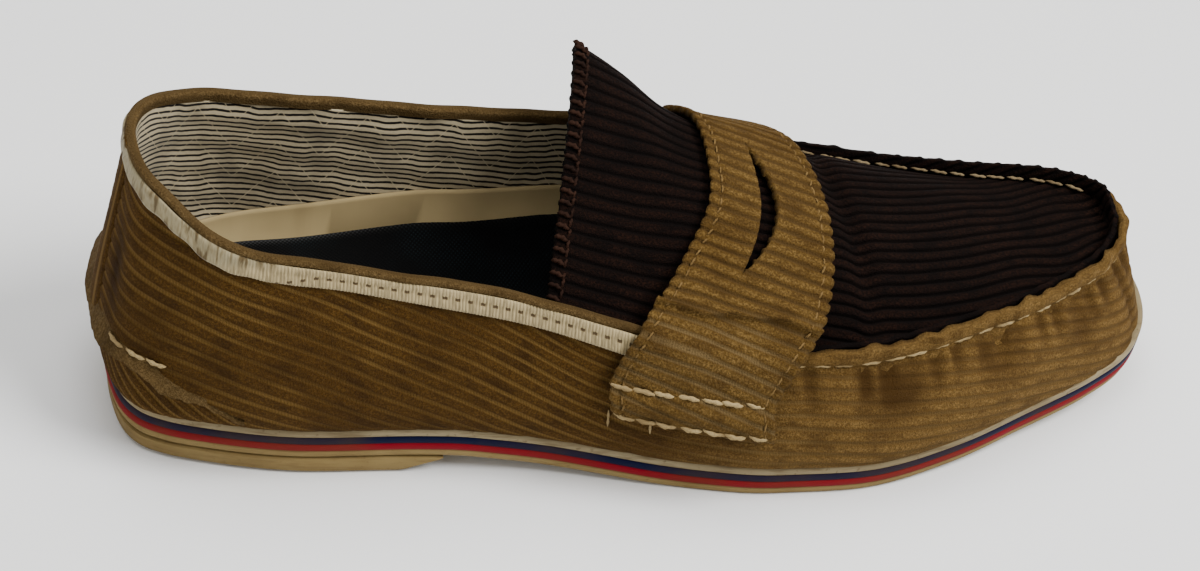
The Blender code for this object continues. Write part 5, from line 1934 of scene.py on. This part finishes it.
cream_thread = thread_material("cream thread", THREAD_CREAM, THREAD_SOIL)
outside_row, inside_row = seam_rows()
cream_rows = [outside_row, *strap_rows(), *flap_rows(), *tail_rows()]
sew("hand_stitching", cream_rows, cream_thread, "cream_ribbon")
shaded_thread = thread_material("shaded thread", SHADED_THREAD, SHADED_THREAD_SOIL)
sew("apron_inner_stitching", [inside_row], shaded_thread, "cream_ribbon")
tan_thread = thread_material("tan thread", TAN_THREAD, TAN_THREAD_SOIL)
sew("strap_hem_stitching", hem_rows(), tan_thread, "tan_corduroy")

# Overcast: brown cotton thread wrapped over the tongue's free edge, one turn to a wale, with a chain of
# the same thread along the ends of the turns.
OVERCAST_THREAD = (0.024, 0.010, 0.0055)
OVERCAST_SOIL = (0.005, 0.0020, 0.0012)
OVERCAST_TURNS = 26
OVERCAST_ENDS = 0.02
OVERCAST_REACH = 3.0
OVERCAST_OVERHANG = 0.4
OVERCAST_FACING = (-0.4, -0.3, 1.0)
OVERCAST_PROUD = 0.1
OVERCAST_STEPS = 6
# The pitch, the length and the thread's radius of a turn, and of the chain along the turns' ends
OVERCAST_TURN = (3.3, 3.2, 0.6)
OVERCAST_CHAIN = (2.6, 2.3, 0.4)


def overcast_rows():
    """Short stitches across the tongue's free edge, and a chain along their ends."""
    across = np.linspace(OVERCAST_ENDS, 1 - OVERCAST_ENDS, OVERCAST_TURNS)
    free = TONGUE_FREE_LATERAL + (TONGUE_FREE_MEDIAL - TONGUE_FREE_LATERAL) * across
    rows = []
    for k in range(len(across)):
        x = np.linspace(free[k] - OVERCAST_OVERHANG, free[k] + OVERCAST_REACH, OVERCAST_STEPS)
        rows.append((tongue_sheet(x, np.full(len(x), across[k])), OVERCAST_TURN))
    rows.append((tongue_sheet(free + OVERCAST_REACH, across), OVERCAST_CHAIN))
    return [(path + OVERCAST_PROUD * UP, np.tile(OVERCAST_FACING, (len(path), 1)), *size)
            for path, size in rows]


brown_thread = thread_material("brown thread", OVERCAST_THREAD, OVERCAST_SOIL)
sew("tongue_overcast", overcast_rows(), brown_thread, "brown_corduroy")

# Floor, light and camera: a pale floor, soft light from above and from the sides, and a camera where
# the photograph's was, turned a little on its axis.
FLOOR_HALF = 3.0
FLOOR_COLOUR = (0.85, 0.85, 0.84)
SKY = (1.0, 1.0, 1.0)
SKY_STRENGTH = 0.42
PHOTO_WIDTH = 1200
SENSOR = 36.0
CAMERA_AZIMUTH = np.radians(22.305)
CAMERA_HEIGHT = np.radians(40.81)
CAMERA_ROLL = np.radians(13.567)
CAMERA_AWAY = 675.1
CAMERA_FOCUS = 2647.8
CAMERA_AIM = (126.4, -5.4, 35.0)
LAMP_AIM = (0, 0, 0.03)
LAMPS = table(
    "name x y z size power",
    ("key", 0.55, -0.35, 1.05, 0.7, 22),
    ("overhead", -0.20, 0.25, 1.20, 1.0, 12),
    ("heel", -0.95, -0.55, 0.50, 0.7, 2),
)


def floor_material():
    """A pale, matt studio floor with a barely uneven coat."""
    material, tree, shader = finish("pale floor", 0.9)
    place = own_place(tree)
    dark = tuple(0.97 * part for part in FLOOR_COLOUR)
    coat = mix(tree, noise(tree, place, 3.0), FLOOR_COLOUR, dark)
    tree.links.new(coat, shader.inputs["Base Color"])
    return material


shape = bmesh.new()
bmesh.ops.create_grid(shape, x_segments=1, y_segments=1, size=FLOOR_HALF)
floor_shape = freeze(shape, "floor")
floor_shape.materials.append(floor_material())
floor = put_in_scene("floor", floor_shape)
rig.stage(floor)

world = bpy.data.worlds.new("studio")
world.use_nodes = True
world.node_tree.nodes["Background"].inputs["Color"].default_value = (*SKY, 1)
world.node_tree.nodes["Background"].inputs["Strength"].default_value = SKY_STRENGTH
bpy.context.scene.world = world


def aim(thing, place, target, roll=0.0):
    """Put a lamp or the camera at a place, looking at a target, turned on its own axis."""
    look = Vector(target) - Vector(place)
    turn = look.to_track_quat("-Z", "Y").to_matrix() @ Matrix.Rotation(roll, 3, "Z")
    thing.matrix_world = Matrix.Translation(place) @ turn.to_4x4()


for lamp in LAMPS:
    light = bpy.data.lights.new(lamp.name, "AREA")
    light.shape = "DISK"
    light.size = lamp.size
    light.energy = lamp.power
    aim(put_in_scene(lamp.name, light), (lamp.x, lamp.y, lamp.z), LAMP_AIM)

lens = bpy.data.cameras.new("camera")
lens.sensor_width = SENSOR
lens.lens = CAMERA_FOCUS * SENSOR / PHOTO_WIDTH
camera = put_in_scene("camera", lens)
forward = np.array([np.sin(CAMERA_AZIMUTH) * np.cos(CAMERA_HEIGHT),
                    np.cos(CAMERA_AZIMUTH) * np.cos(CAMERA_HEIGHT), -np.sin(CAMERA_HEIGHT)])
target = (np.array(CAMERA_AIM) + FOOT_ZERO) * MM
aim(camera, target - forward * CAMERA_AWAY * MM, target, CAMERA_ROLL)
bpy.context.scene.camera = camera

# The CAD's box and the finished shoe's box, side by side
boxes = {"cad": cad_box, "visual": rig.bounds()}
with open("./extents.json", "w") as out:
    json.dump({name: [list(corner) for corner in box] for name, box in boxes.items()}, out)
